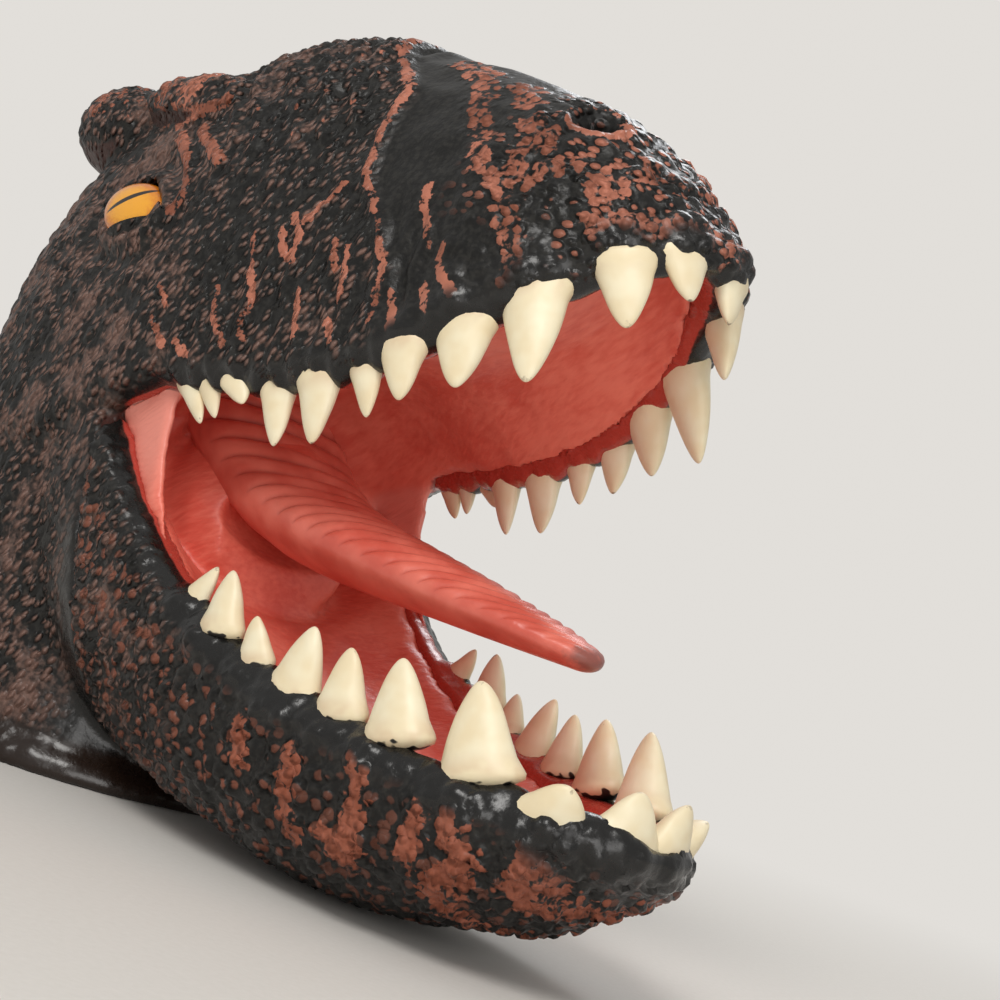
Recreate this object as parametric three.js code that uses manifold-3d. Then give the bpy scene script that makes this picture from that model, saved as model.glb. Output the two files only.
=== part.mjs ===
// A dinosaur hand puppet: a soft vinyl head that is worn like a glove.
// The mouth stands open as moulded. Fingers fill the snout, the thumb fills the lower jaw.
// Millimetres, +X towards the snout, +Y the animal's left, +Z up. It stands on its neck rim.
import * as THREE from 'three';
import { mergeVertices } from 'three/addons/utils/BufferGeometryUtils.js';
import Module from 'manifold-3d';

const wasm = await Module();
wasm.setup();

// Walls and gaps
const wall = 2.6;            // thickness of the outer skin
const lining = 2.2;          // thickness of the throat lining
const clearance = 0.3;       // gap left between neighbouring pieces
const gumWidth = 8.0;        // width of the gum ridge that carries the teeth
const gumDepth = 3.2;        // thickness of the gum ridge, palate and mouth floor
const lipRound = 3.2;        // how far the lip's edge is rounded back
const lipWidth = 0.6;        // share of the gum's width that is rounded
const toothInset = 3.2;      // from the lip's edge in to the middle of a tooth
const bodyFullness = 0.8;    // 1 is a plain oval section for head and jaw, less is fuller
const neckFullness = 0.87;   // the same for the neck
const tipFullness = 2.3;     // 2 is a plain round tip, more is blunter
const vaultShare = 0.8;      // the most of the head's height that the roof of the mouth takes
const dishShare = 0.7;       // the most of the jaw's height that the floor of the mouth takes
const liningSpread = 1.1;    // how much fuller the palate's and floor's spaces are than an oval
const rootDepth = 5.0;       // how far a tooth's cone starts behind the gum before it is trimmed

// The upper head. Each line is [how far forward, size], from the nape to the nose.
const upperLipLine = [
  [-134, 50], [-90, 54], [-62, 66], [-44, 73.5], [-24, 76.2], [-5, 81.8],
  [10, 90], [20, 98], [31, 107], [37.6, 109.5],
];
const topLine = [
  [-134, 110], [-112, 130], [-88, 140.5], [-55, 148.5], [-13, 142.5], [12, 134], [30, 125.5], [37.6, 119],
];
const headHalfWidth = [
  [-134, 36], [-100, 38.5], [-62, 38.2], [-44, 35.8], [-24, 31.8], [-5, 29.6], [10, 26.2], [37.6, 16],
];
const noseTip = 37.6;        // the snout's foremost point
const noseRound = 30;        // length over which the snout rounds off
const nape = -134;           // the head's rearmost point
const napeRound = 38;        // length over which the back of the head rounds off

// The lower jaw, from inside the neck to the chin
const lowerLipLine = [
  [-104, 82], [-76, 74], [-62, 65.6], [-44, 50], [-24, 38], [-5, 31.8], [14, 28.7], [40, 27], [60, 27.5],
];
const chinLine = [[-104, 12], [-62, 8], [-30, 3.6], [3, 1.2], [36, 7], [60, 20]];
const jawHalfWidth = [
  [-104, 30], [-62, 37.2], [-44, 36], [-24, 33.6], [-5, 31.4], [14, 28], [40, 22], [60, 15.5],
];
const chinTip = 60;          // the chin's foremost point
const chinRound = 27;        // length over which the chin rounds off
const jawRoot = -104;        // where the jaw's body ends inside the neck

// The neck, an oval tube that leans back as it rises
const neckFoot = { height: 0, middle: -92, halfLength: 42, halfWidth: 38 };
const neckTop = { height: 80, middle: -96, halfLength: 33.5, halfWidth: 36.5 };
const rimHeight = 5;         // the bead round the neck's edge
const rimProud = 2.2;        // how far the bead stands out of the neck
const rimStart = 0.35;       // the share of the bead's half round that its flat foot takes off
const rimFullness = 0.6;     // 1 is a plain half round, less is fuller

// The roof, floor and back of the mouth
const roofVault = 13;        // how far the palate rises above the gum
const floorDish = 11;        // how far the floor of the mouth dips below the gum
const chinHollow = 24;       // in front of this the jaw's hollow comes close under the floor
const mouthRear = -60;       // where the vault and the dish run out
const hollowLead = 14;       // length and width over which the hollows reach their full depth
const palateRear = -73;      // where the palate itself ends, above the throat
const mouthCorner = -62;     // how far back the lips meet
const throat = { x: -43, z: 61, long: 29, tall: 23 };

// The band of skin that folds between the neck and the jaw
const foldFront = -28;
const foldHeel = { x: -50, z: 9, toe: 5 };
const mouthSplit = 58;       // height that parts the upper head from the jaw in front of the corner

// The webs of skin in the corners of the mouth
const webThickness = 1.6;
const webInset = 3.1;        // from the lip's edge in to the web
const webFront = { upper: -48.5, lower: -31, hollow: 9 };

// The tongue and the knuckle that it turns on
const knuckle = { x: -44, z: 55, radius: 7.2, halfWidth: 17 };
const tongueTip = 37.5;
const tongueLine = [[-44, 55], [-24, 54.8], [-8, 53.2], [12, 51], [38, 48.2]];
const tongueHalfWidth = [[-44, 15.5], [-20, 15.5], [0, 14], [20, 10.6], [38, 4.5]];
const tongueHalfThickness = [[-44, 6.4], [-20, 6], [0, 5], [20, 3.6], [38, 2]];
const tongueTipRound = 7;    // length over which the tongue's tip rounds off
const tongueRibs = 14;
const ribDepth = 0.6;
const throatMound = { x: -60, z: 53, long: 22, wide: 20, tall: 20 };

// Eyes, brows and nostrils
const eye = {
  x: -74, z: 104, radius: 5.6, bulge: 2.4, flange: 1.3, flangeThickness: 1.2, up: 10, forward: 14,
};
const brow = { x: -78, y: 24, z: 126.5, long: 21, wide: 9, tall: 6.5 };
const horn = { x: -110, y: 22.5, z: 122.5, long: 15, wide: 9.5, tall: 10 };
const nostril = { x: 14, y: 10.5, long: 4.4, wide: 2.8, deep: 1.8 };

// Teeth, from the corner of the mouth forwards: [root's place, length, width, degrees leaning forward]
const upperTeeth = [
  [-43.4, 8.0, 5.0, 38], [-39.4, 7.6, 5.0, 32], [-32.4, 5.8, 5.2, 38], [-24.2, 10.8, 7.2, 23],
  [-14.8, 11.2, 8.6, 18], [-5.4, 8.6, 6.2, 23], [2.4, 9.4, 8.4, 18], [12.0, 11.6, 10.8, 22],
  [22.0, 16.4, 11.8, 23], [31.2, 11.4, 9.8, 23], [36.6, 8.0, 8.0, 23],
];
const lowerTeeth = [
  [-23.6, 7.4, 5.4, 24], [-15.2, 9.8, 9.0, -8], [-6.0, 7.2, 6.8, -12], [4.0, 10.8, 9.6, 5],
  [14.2, 10.6, 9.2, -9], [25.2, 12.4, 11.2, -17], [38.4, 14.8, 12.8, -16], [51.6, 6.2, 10.0, 0],
  [58.6, 7.2, 8.8, 0],
];
const splay = 5;             // degrees that the teeth lean outwards
const toothRoundness = 0.62; // 1 is a straight cone, less is fuller
const toothAcross = 0.66;    // a tooth's thickness as a share of its width
const toothCurl = 0.08;      // how far a tip curls back, as a share of the tooth's length
const eyeStudPlay = 2.6;     // room for the skin's curve between the wall and the eye's flange
const overcut = 1;           // how far a cutting space reaches past the surface that it parts
const farAway = 120;         // reach of the cutting spaces that pass right through the puppet

const degrees = Math.PI / 180;

// A smooth line through [place, size] points that never overshoots them
function smoothLine(points) {
  const slope = points.slice(1).map((point, i) => (point[1] - points[i][1]) / (point[0] - points[i][0]));
  const tangent = points.map((point, i) => {
    if (i === 0) return slope[0];
    if (i === points.length - 1) return slope[i - 1];
    const [before, after] = [slope[i - 1], slope[i]];
    return before * after <= 0 ? 0 : 2 * before * after / (before + after);
  });
  return (x) => {
    const place = Math.min(Math.max(x, points[0][0]), points.at(-1)[0]);
    let i = 0;
    while (i < points.length - 2 && place > points[i + 1][0]) i += 1;
    const span = points[i + 1][0] - points[i][0];
    const t = (place - points[i][0]) / span;
    const start = (1 + 2 * t) * (1 - t) ** 2 * points[i][1] + t * (1 - t) ** 2 * span * tangent[i];
    return start + t * t * (3 - 2 * t) * points[i + 1][1] + t * t * (t - 1) * span * tangent[i + 1];
  };
}

const upperLip = smoothLine(upperLipLine);
const top = smoothLine(topLine);
const headWidth = smoothLine(headHalfWidth);
const lowerLip = smoothLine(lowerLipLine);
const chin = smoothLine(chinLine);
const jawWidth = smoothLine(jawHalfWidth);
const tongueHeight = smoothLine(tongueLine);
const tongueWidth = smoothLine(tongueHalfWidth);
const tongueThickness = smoothLine(tongueHalfThickness);
const throatHalf = headWidth(mouthCorner) - gumWidth;  // the throat is as wide as the palate before it

// Geometry in, closed solid out, with its faces outwards
function solid(geometry) {
  geometry.deleteAttribute('normal');
  geometry.deleteAttribute('uv');
  const merged = mergeVertices(geometry, 1e-4);
  const index = merged.index.array;
  const position = merged.attributes.position.array;
  const corner = (i) => new THREE.Vector3().fromArray(position, 3 * i);
  const faces = [];
  let volume = 0;
  for (let i = 0; i < index.length; i += 3) {
    const [a, b, c] = [index[i], index[i + 1], index[i + 2]];
    if (a === b || b === c || c === a) continue;
    faces.push(a, b, c);
    volume += corner(a).dot(corner(b).cross(corner(c)));
  }
  if (volume < 0) faces.reverse();
  return new wasm.Manifold(new wasm.Mesh({
    numProp: 3,
    vertProperties: new Float32Array(position),
    triVerts: new Uint32Array(faces),
  }));
}

// A cylinder of unit size with every point moved: place(up, across, share along)
function shapedTube(around, along, place) {
  const tube = new THREE.CylinderGeometry(1, 1, 1, around, along);
  const position = tube.attributes.position;
  for (let i = 0; i < position.count; i += 1) {
    const spot = place(position.getZ(i), position.getX(i), position.getY(i) + 0.5);
    position.setXYZ(i, spot.x, spot.y, spot.z);
  }
  return solid(tube);
}

function ball(x, y, z, long, wide, tall, around = 24) {
  const geometry = new THREE.SphereGeometry(1, around, around / 2);
  return solid(geometry.scale(long, wide, tall).translate(x, y, z));
}

// A side view drawn as [forward, up] points, extruded between two places across
function sidePrism(points, from, to) {
  const shape = new THREE.Shape(points.map(([x, z]) => new THREE.Vector2(x, z)));
  const geometry = new THREE.ExtrudeGeometry(shape, { depth: to - from, bevelEnabled: false });
  return solid(geometry.rotateX(Math.PI / 2).translate(0, to, 0));
}

function power(value, exponent) {
  return Math.sign(value) * Math.abs(value) ** exponent;
}

function clamp(value, low, high) {
  return Math.min(Math.max(value, low), high);
}

// What is left of a body's full size where its end rounds off, from 1 down to 0 at the tip
function rounding(x, tip, length) {
  const t = clamp(1 - (tip - x) / length, 0, 1);
  return Math.max(0, 1 - t ** tipFullness) ** (1 / tipFullness);
}

// Places along a body, closer together at its ends
function station(share, from, to) {
  return from + (to - from) * 0.5 * (1 - Math.cos(Math.PI * share));
}

// How deep the mouth's roof or floor is hollowed at a place, from 0 at the gum to 1 in the middle
function hollowing(x, y, freeWidth) {
  const rear = clamp((x - mouthRear + hollowLead) / hollowLead, 0, 1);
  const across = Math.max(0, 1 - (y / Math.max(freeWidth, 1)) ** 2) ** bodyFullness;
  return rear * clamp(freeWidth / hollowLead, 0, 1) * across;
}

// How far the lip falls away, at a distance inward from its edge
function lipFall(inward) {
  return lipRound * clamp(1 - inward / (lipWidth * gumWidth), 0, 1) ** 2;
}

function headEnds(x) {
  return rounding(x, noseTip, noseRound) * rounding(-x, -nape, napeRound);
}

// Half widths of the head and the jaw at the lips, with their rounded ends
function headHalf(x) {
  return headWidth(x) * headEnds(x);
}

function jawHalf(x) {
  return jawWidth(x) * rounding(x, chinTip, chinRound);
}

// How much shorter a hollow is than its body: nose and chin are solid as far back as the gum is wide
function tipInset(inset) {
  return inset * gumWidth / wall;
}

// The upper head as a solid. Its hollow is the same body, smaller by a wall and raised by the gum.
function headBody(inset, raise, around = 28, along = 26) {
  const from = nape + inset;
  const to = noseTip - tipInset(inset);
  return shapedTube(around, along, (up, across, share) => {
    const x = station(share, from, to);
    const ends = rounding(x, to, noseRound) * rounding(-x, -from, napeRound);
    const half = (headWidth(x) - inset) * ends;
    const foot = upperLip(x) + raise;
    const edge = foot + lipRound;
    const height = Math.max(top(x) - inset - edge, 0) * ends;
    const full = edge + height * power(up, bodyFullness);
    if (up > 0) return new THREE.Vector3(x, half * power(across, bodyFullness), full);
    const y = half * across;
    const vault = roofVault * hollowing(x, y, headHalf(x) - gumWidth);
    const inward = Math.min(half - Math.abs(y), to - x);
    return new THREE.Vector3(x, y, foot + lipFall(inward) + Math.min(vault, height * vaultShare));
  });
}

// The lower jaw as a solid, and its hollow in the same way
function jawBody(inset, lower, around = 28, along = 22) {
  const to = chinTip - tipInset(inset);
  return shapedTube(around, along, (up, across, share) => {
    const x = station(share, jawRoot + inset, to);
    const ends = rounding(x, to, chinRound);
    const half = (jawWidth(x) - inset) * ends;
    const lip = lowerLip(x) - lower;
    const edge = lip - lipRound;
    const height = Math.max(edge - chin(x) - inset, 0) * ends;
    const full = edge + height * power(up, bodyFullness);
    if (up < 0) return new THREE.Vector3(x, half * power(across, bodyFullness), full);
    const y = half * across;
    const dish = floorDish * hollowing(x, y, jawHalf(x) - gumWidth);
    const inward = Math.min(half - Math.abs(y), to - x);
    return new THREE.Vector3(x, y, lip - lipFall(inward) - Math.min(dish, height * dishShare));
  });
}

// The neck as an oval tube. Its hollow starts below the foot, so that the glove is open.
function neckBody(inset, below) {
  return shapedTube(32, 4, (up, across, share) => {
    const z = -below + share * (neckTop.height + below);
    const rise = clamp(z / neckTop.height, 0, 1);
    const halfLength = THREE.MathUtils.lerp(neckFoot.halfLength, neckTop.halfLength, rise) - inset;
    const halfWidth = THREE.MathUtils.lerp(neckFoot.halfWidth, neckTop.halfWidth, rise) - inset;
    const middle = THREE.MathUtils.lerp(neckFoot.middle, neckTop.middle, rise);
    const x = middle + halfLength * power(up, neckFullness);
    return new THREE.Vector3(x, halfWidth * power(across, neckFullness), z);
  });
}

// The bead round the neck's edge, flat underneath
function rimBead() {
  return shapedTube(32, 4, (up, across, share) => {
    const proud = rimProud * Math.sin(Math.PI * THREE.MathUtils.lerp(rimStart, 1, share)) ** rimFullness;
    const halfLength = neckFoot.halfLength + proud;
    const halfWidth = neckFoot.halfWidth + proud;
    const x = neckFoot.middle + halfLength * power(up, neckFullness);
    return new THREE.Vector3(x, halfWidth * power(across, neckFullness), rimHeight * share);
  });
}

// Everything between the outside, the mouth and the hand: skin, gums and linings in one
function wholeWall() {
  let outside = headBody(0, 0).add(jawBody(0, 0)).add(neckBody(0, 0)).add(rimBead());
  for (const side of [-1, 1]) {
    outside = outside.add(ball(brow.x, side * brow.y, brow.z, brow.long, brow.wide, brow.tall, 16));
    outside = outside.add(ball(horn.x, side * horn.y, horn.z, horn.long, horn.wide, horn.tall, 12));
  }
  const handSpace = headBody(wall, gumDepth, 20, 17).add(jawBody(wall, gumDepth, 20, 16))
    .add(neckBody(wall, 4));
  return outside.subtract(handSpace.subtract(throatBall(lining))).subtract(throatBall(0));
}

function throatBall(grow) {
  return ball(throat.x, 0, throat.z, throat.long + grow, throatHalf + grow, throat.tall + grow, 24);
}

// The space between the gum ridges that the palate fills
function palateSpace(grow) {
  const to = noseTip - gumWidth;
  return shapedTube(18, 16, (up, across, share) => {
    const x = station(share, palateRear, to);
    const half = Math.max(headHalf(x) - gumWidth, 0) * rounding(x, to, noseRound / 2) + grow;
    const y = half * clamp(liningSpread * across, -1, 1);
    const vault = roofVault * hollowing(x, y, headHalf(x) - gumWidth);
    const z = upperLip(x) + (up > 0 ? vault + gumDepth + overcut + grow : -overcut - grow);
    return new THREE.Vector3(station(share, palateRear - grow, to + grow), y, z);
  });
}

// The space between the gum ridges that the floor of the mouth fills
function floorSpace(grow) {
  const to = chinTip - gumWidth;
  return shapedTube(18, 16, (up, across, share) => {
    const x = station(share, mouthRear, to);
    const half = Math.max(jawHalf(x) - gumWidth, 0) * rounding(x, to, chinRound / 2) + grow;
    const y = half * clamp(liningSpread * across, -1, 1);
    const dish = floorDish * hollowing(x, y, jawHalf(x) - gumWidth);
    const z = lowerLip(x) + (up > 0 ? overcut + grow : -dish - gumDepth - overcut - grow);
    return new THREE.Vector3(station(share, mouthRear - grow, to + grow), y, z);
  });
}

// Near the chin the floor keeps its full thickness, where the hollow below it would cut into it
function chinFloor() {
  const below = jawBody(0, 0).translate(0, 0, -gumDepth);
  const points = [[chinHollow, -farAway], [farAway, -farAway], [farAway, farAway], [chinHollow, farAway]];
  const inFront = sidePrism(points, -farAway, farAway);
  return jawBody(0, 0).intersect(floorSpace(0)).intersect(inFront).subtract(below);
}

// Behind the palate only the outer skin is left of the upper head
function behindPalate() {
  const half = throatHalf - lining / 2;
  const [low, high] = [throat.z - 2 * lining, throat.z + throat.tall];
  const rear = palateRear - 2 * lining;
  return sidePrism([[rear, low], [mouthRear, low], [mouthRear, high], [rear, high]], -half, half);
}

// What belongs to the jaw, and what folds behind it, as seen from the side
function jawZone(grow) {
  const rear = foldFront + clearance / 2 - grow;
  const points = [[rear, -farAway], [farAway, -farAway], [farAway, mouthSplit], [rear, mouthSplit]];
  return sidePrism(points, -farAway, farAway);
}

function foldZone(grow) {
  const front = foldFront - clearance / 2 + grow;
  const corner = [mouthCorner - grow, upperLip(mouthCorner) - clearance + grow];
  const heel = [foldHeel.x - grow, foldHeel.z - grow];
  const toe = [foldHeel.x + foldHeel.toe - grow, foldHeel.z - grow];
  const points = [[front, -farAway], [front, mouthSplit], corner, heel, toe, [toe[0], -farAway]];
  return sidePrism(points, -farAway, farAway);
}

// The knuckle is round about the line it turns on
function knuckleBall(grow) {
  const radius = knuckle.radius + grow;
  return ball(knuckle.x, 0, knuckle.z, radius, knuckle.halfWidth + grow, radius);
}

// The tongue along its line, ribbed across its back, with the knuckle that it turns on
function tongueBody(grow) {
  const body = shapedTube(12, 3 * tongueRibs, (up, across, share) => {
    const x = THREE.MathUtils.lerp(knuckle.x, tongueTip + grow, share);
    const tip = rounding(x, tongueTip + grow, tongueTipRound);
    const rib = ribDepth * Math.abs(Math.sin(Math.PI * tongueRibs * share)) * Math.max(0, up);
    const y = (tongueWidth(x) + grow) * across * tip;
    const rise = ((tongueThickness(x) + grow) * up - rib) * tip;
    return new THREE.Vector3(x, y, tongueHeight(x) + rise);
  });
  return body.add(knuckleBall(grow));
}

// The back of the mouth, with the mound that the tongue's knuckle turns in
function throatLining(whole) {
  const floor = floorSpace(0).subtract(palateSpace(clearance));
  const sheet = whole.intersect(throatBall(lining).add(floor));
  const { x, z, long, wide, tall } = throatMound;
  const mound = ball(x, 0, z, long, wide, tall, 16);
  const front = knuckle.x - lining;
  const points = [[front, 0], [farAway, 0], [farAway, farAway], [front, farAway]];
  const inFront = sidePrism(points, -farAway, farAway);
  const seat = mound.intersect(throatBall(lining / 2)).subtract(inFront);
  return sheet.subtract(jawZone(clearance)).add(seat).subtract(tongueBody(clearance));
}

// A web of skin that closes one corner of the mouth between the lips, hollow along its front edge
function cornerWeb(side) {
  const corner = mouthCorner + webThickness;
  const { upper, lower, hollow } = webFront;
  const above = [0, 0.5, 1].map((share) => THREE.MathUtils.lerp(corner, upper, share));
  const below = [1, 0.5, 0].map((share) => THREE.MathUtils.lerp(corner, lower, share));
  const highEnd = new THREE.Vector2(upper, upperLip(upper) - clearance);
  const lowEnd = new THREE.Vector2(lower, lowerLip(lower) + clearance);
  const middle = highEnd.clone().add(lowEnd).multiplyScalar(0.5).add(new THREE.Vector2(-hollow, -hollow / 3));
  const edge = new THREE.QuadraticBezierCurve(highEnd, middle, lowEnd).getPoints(6).slice(1, -1);
  const points = [
    ...above.map((x) => [x, upperLip(x) - clearance]),
    ...edge.map((point) => [point.x, point.y]),
    ...below.map((x) => [x, lowerLip(x) + clearance]),
  ];
  const outer = jawHalf(lower) - webInset;
  const inner = outer - webThickness;
  return side > 0 ? sidePrism(points, inner, outer) : sidePrism(points, -outer, -inner);
}

// A tooth's place on the row: the lip's edge, stepped in square to it
function rowSpot(place, half, height, inset) {
  const step = 0.05;
  const slope = (half(place + step) - half(place - step)) / (2 * step);
  const rise = (height(place + step) - height(place - step)) / (2 * step);
  const outward = new THREE.Vector3(-slope, 1, 0).normalize();
  const along = new THREE.Vector3(1, slope, rise).normalize();
  const spot = new THREE.Vector3(place, half(place), height(place)).addScaledVector(outward, -inset);
  return { spot, outward, along };
}

// One tooth: a rounded cone that leans forward and outward, trimmed to sit on the gum
function tooth(row, side, length, width, lean, downward, gum) {
  const pointing = new THREE.Vector3(Math.sin(lean * degrees), 0, downward * Math.cos(lean * degrees));
  pointing.addScaledVector(row.outward, Math.tan(splay * degrees)).normalize();
  const across = new THREE.Vector3().crossVectors(pointing, row.along).normalize();
  const along = new THREE.Vector3().crossVectors(across, pointing);
  const start = row.spot.clone().addScaledVector(pointing, -rootDepth);
  const cone = shapedTube(7, 4, (up, sideways, share) => {
    const reach = Math.sin(0.5 * Math.PI * share);
    const girth = 0.5 * width * (1 - reach) ** toothRoundness;
    const point = start.clone().addScaledVector(pointing, reach * (length + rootDepth));
    point.addScaledVector(along, girth * sideways).addScaledVector(across, girth * toothAcross * up);
    point.x -= toothCurl * length * reach ** 2;
    point.y *= side;
    return point;
  });
  return cone.subtract(gum);
}

// Where the head's side or top lies, for a place forward and a height, or a place forward and across
function cheekY(x, z) {
  const rise = clamp((z - upperLip(x)) / (top(x) - upperLip(x)), 0, 1) ** (1 / bodyFullness);
  return headHalf(x) * Math.sqrt(1 - rise ** 2) ** bodyFullness;
}

function snoutZ(x, y) {
  const across = clamp(y / headHalf(x), 0, 1) ** (1 / bodyFullness);
  return upperLip(x) + (top(x) - upperLip(x)) * headEnds(x) * Math.sqrt(1 - across ** 2) ** bodyFullness;
}

// The line that an eye looks along, from the skin outwards
function eyePose(side) {
  const up = Math.sin(eye.up * degrees);
  const level = Math.cos(eye.up * degrees);
  const forward = Math.sin(eye.forward * degrees) * level;
  const out = new THREE.Vector3(forward, side * Math.cos(eye.forward * degrees) * level, up);
  const turn = new THREE.Quaternion().setFromUnitVectors(new THREE.Vector3(0, 1, 0), out);
  return new THREE.Matrix4().compose(
    new THREE.Vector3(eye.x, side * cheekY(eye.x, eye.z), eye.z), turn, new THREE.Vector3(1, 1, 1));
}

// A domed eye on a stud, with a flange behind the skin that keeps it in
function eyeball(side) {
  const dome = [0, 22, 44, 68, 90].map((angle) => new THREE.Vector2(
    eye.radius * Math.sin(angle * degrees), eye.bulge * Math.cos(angle * degrees)));
  const back = -wall - eyeStudPlay;
  const profile = [
    ...dome,
    new THREE.Vector2(eye.radius, back),
    new THREE.Vector2(eye.radius + eye.flange, back),
    new THREE.Vector2(eye.radius + eye.flange, back - eye.flangeThickness),
    new THREE.Vector2(0, back - eye.flangeThickness),
  ];
  return solid(new THREE.LatheGeometry(profile, 16).applyMatrix4(eyePose(side)));
}

function eyeHole(side) {
  const radius = eye.radius + clearance;
  return solid(new THREE.CylinderGeometry(radius, radius, 6 * wall, 16).applyMatrix4(eyePose(side)));
}

function nostrilPit(side) {
  const z = snoutZ(nostril.x, nostril.y);
  return ball(nostril.x, side * nostril.y, z, nostril.long, nostril.wide, nostril.deep, 12);
}

// Colours
const skin = new THREE.MeshStandardMaterial({ color: 0x2b2523, roughness: 0.5, metalness: 0 });
const mouthRed = new THREE.MeshStandardMaterial({ color: 0xb5413b, roughness: 0.38, metalness: 0 });
const tongueRed = new THREE.MeshStandardMaterial({ color: 0xc0504a, roughness: 0.35, metalness: 0 });
const ivory = new THREE.MeshStandardMaterial({ color: 0xf1ead2, roughness: 0.4, metalness: 0 });
const amber = new THREE.MeshStandardMaterial({ color: 0xe39a1f, roughness: 0.2, metalness: 0 });

// A node from a solid. A cut can leave a crumb beside the piece, and only the piece is kept.
function piece(name, body, material) {
  const [main] = body.decompose().sort((a, b) => b.volume() - a.volume());
  const { vertProperties, triVerts } = main.getMesh();
  const geometry = new THREE.BufferGeometry();
  geometry.setAttribute('position', new THREE.BufferAttribute(vertProperties, 3));
  geometry.setIndex(new THREE.BufferAttribute(triVerts, 1));
  const mesh = new THREE.Mesh(geometry, material);
  mesh.name = name;
  return mesh;
}

const sides = { right: -1, left: 1 };
const head = new THREE.Group();
const jaw = new THREE.Group();
const tongue = new THREE.Group();
const whole = wholeWall();

let headSkin = whole.subtract(jawZone(clearance)).subtract(foldZone(clearance))
  .subtract(palateSpace(clearance)).subtract(throatBall(lining + clearance)).subtract(behindPalate());
for (const side of Object.values(sides)) {
  headSkin = headSkin.subtract(eyeHole(side)).subtract(nostrilPit(side));
}
head.add(piece('head_skin', headSkin, skin));
head.add(piece('palate', whole.intersect(palateSpace(0)).subtract(throatBall(lining + clearance)), mouthRed));
head.add(piece('throat_lining', throatLining(whole), mouthRed));
head.add(piece('throat_fold', whole.intersect(foldZone(0)).subtract(floorSpace(clearance))
  .subtract(palateSpace(clearance)).subtract(throatBall(lining + clearance)), skin));

const jawWall = whole.intersect(jawZone(0));
jaw.add(piece('jaw_skin', jawWall.subtract(floorSpace(clearance)), skin));
jaw.add(piece('mouth_floor', jawWall.intersect(floorSpace(0)).add(chinFloor()), mouthRed));
tongue.add(piece('tongue', tongueBody(0), tongueRed));

// The gums, grown by the clearance upwards and outwards, trim the teeth's roots
const upperGum = headBody(0, -clearance).add(headBody(-1.5 * clearance, -clearance));
const lowerGum = jawBody(0, -clearance).add(jawBody(-1.5 * clearance, -clearance));
for (const [name, side] of Object.entries(sides)) {
  head.add(piece(`eye_${name}`, eyeball(side), amber));
  head.add(piece(`corner_web_${name}`, cornerWeb(side), mouthRed));
  upperTeeth.forEach(([place, length, width, lean], i) => {
    const row = rowSpot(place, headHalf, upperLip, toothInset);
    const body = tooth(row, side, length, width, lean, -1, upperGum);
    head.add(piece(`upper_tooth_${name}_${i + 1}`, body, ivory));
  });
  lowerTeeth.forEach(([place, length, width, lean], i) => {
    const row = rowSpot(place, jawHalf, lowerLip, toothInset);
    const body = tooth(row, side, length, width, lean, 1, lowerGum);
    jaw.add(piece(`lower_tooth_${name}_${i + 1}`, body, ivory));
  });
}

// The origin is on the ground, under the middle of the puppet
const puppet = new THREE.Group();
puppet.add(head, jaw, tongue);
const box = new THREE.Box3().setFromObject(puppet);
puppet.position.set(-(box.min.x + box.max.x) / 2, 0, -box.min.z);

export default puppet;
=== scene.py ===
# %% [markdown]
# # A dinosaur hand puppet, dressed for its picture
# The real puppet is a soft vinyl head that a hand works from inside. The solids of the frame give its
# sizes, and this lesson dresses them: scaly painted skin, a glossy red mouth with a ribbed tongue,
# ivory teeth and amber eyes.
#
# Everything is placed in millimetres on the moulder's drawing, whose zero lies under the throat.
# Blender works in metres, and its zero is the middle of the frame, so two small helpers translate.

# %% Load the frame
import math

import bmesh
import bpy
import numpy as np
from mathutils import Matrix, Vector, noise
from mathutils.bvhtree import BVHTree
from mathutils.kdtree import KDTree


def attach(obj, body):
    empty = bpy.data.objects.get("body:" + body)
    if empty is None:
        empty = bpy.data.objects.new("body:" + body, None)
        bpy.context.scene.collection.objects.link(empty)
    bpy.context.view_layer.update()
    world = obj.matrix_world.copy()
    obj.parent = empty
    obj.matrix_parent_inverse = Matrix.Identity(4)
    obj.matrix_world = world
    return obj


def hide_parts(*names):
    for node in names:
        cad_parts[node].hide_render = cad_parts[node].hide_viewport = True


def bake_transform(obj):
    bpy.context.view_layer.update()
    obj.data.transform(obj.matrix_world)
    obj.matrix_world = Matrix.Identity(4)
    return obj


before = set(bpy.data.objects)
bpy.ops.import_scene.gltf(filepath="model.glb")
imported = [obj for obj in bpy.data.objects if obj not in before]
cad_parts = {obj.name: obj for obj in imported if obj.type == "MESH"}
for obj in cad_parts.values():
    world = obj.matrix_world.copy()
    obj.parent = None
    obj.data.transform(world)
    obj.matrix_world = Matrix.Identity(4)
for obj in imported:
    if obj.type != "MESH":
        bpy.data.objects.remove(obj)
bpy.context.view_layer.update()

MM = 0.001
DRAWING_ZERO = 38.1


def spot(x, y, z):
    """A point of the drawing, in millimetres, as a place in the scene."""
    return Vector(((x + DRAWING_ZERO) * MM, y * MM, z * MM))


print("nodes in the frame:", len(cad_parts))

# %% [markdown]
# ## Reading and moving all points of a mesh at once
# Sculpting by hand would push thousands of points with a brush. A script does it with one formula
# for all points. These helpers hand the points over in millimetres of the drawing and put them back.
# `ramp`, `fall` and `hill` are the brushes: each says how strongly a point is moved, from 0 to 1.

# %% Helpers for points
TINY = 1e-6  # keeps a division by nothing from failing


def points_of(mesh):
    """All points of a mesh in millimetres of the drawing, one row each."""
    flat = np.empty(len(mesh.vertices) * 3)
    mesh.vertices.foreach_get("co", flat)
    return flat.reshape(-1, 3) / MM - np.array([DRAWING_ZERO, 0, 0])


def normals_of(mesh):
    """The direction in which each point faces, one row each."""
    flat = np.empty(len(mesh.vertices) * 3)
    mesh.vertices.foreach_get("normal", flat)
    return flat.reshape(-1, 3)


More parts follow.
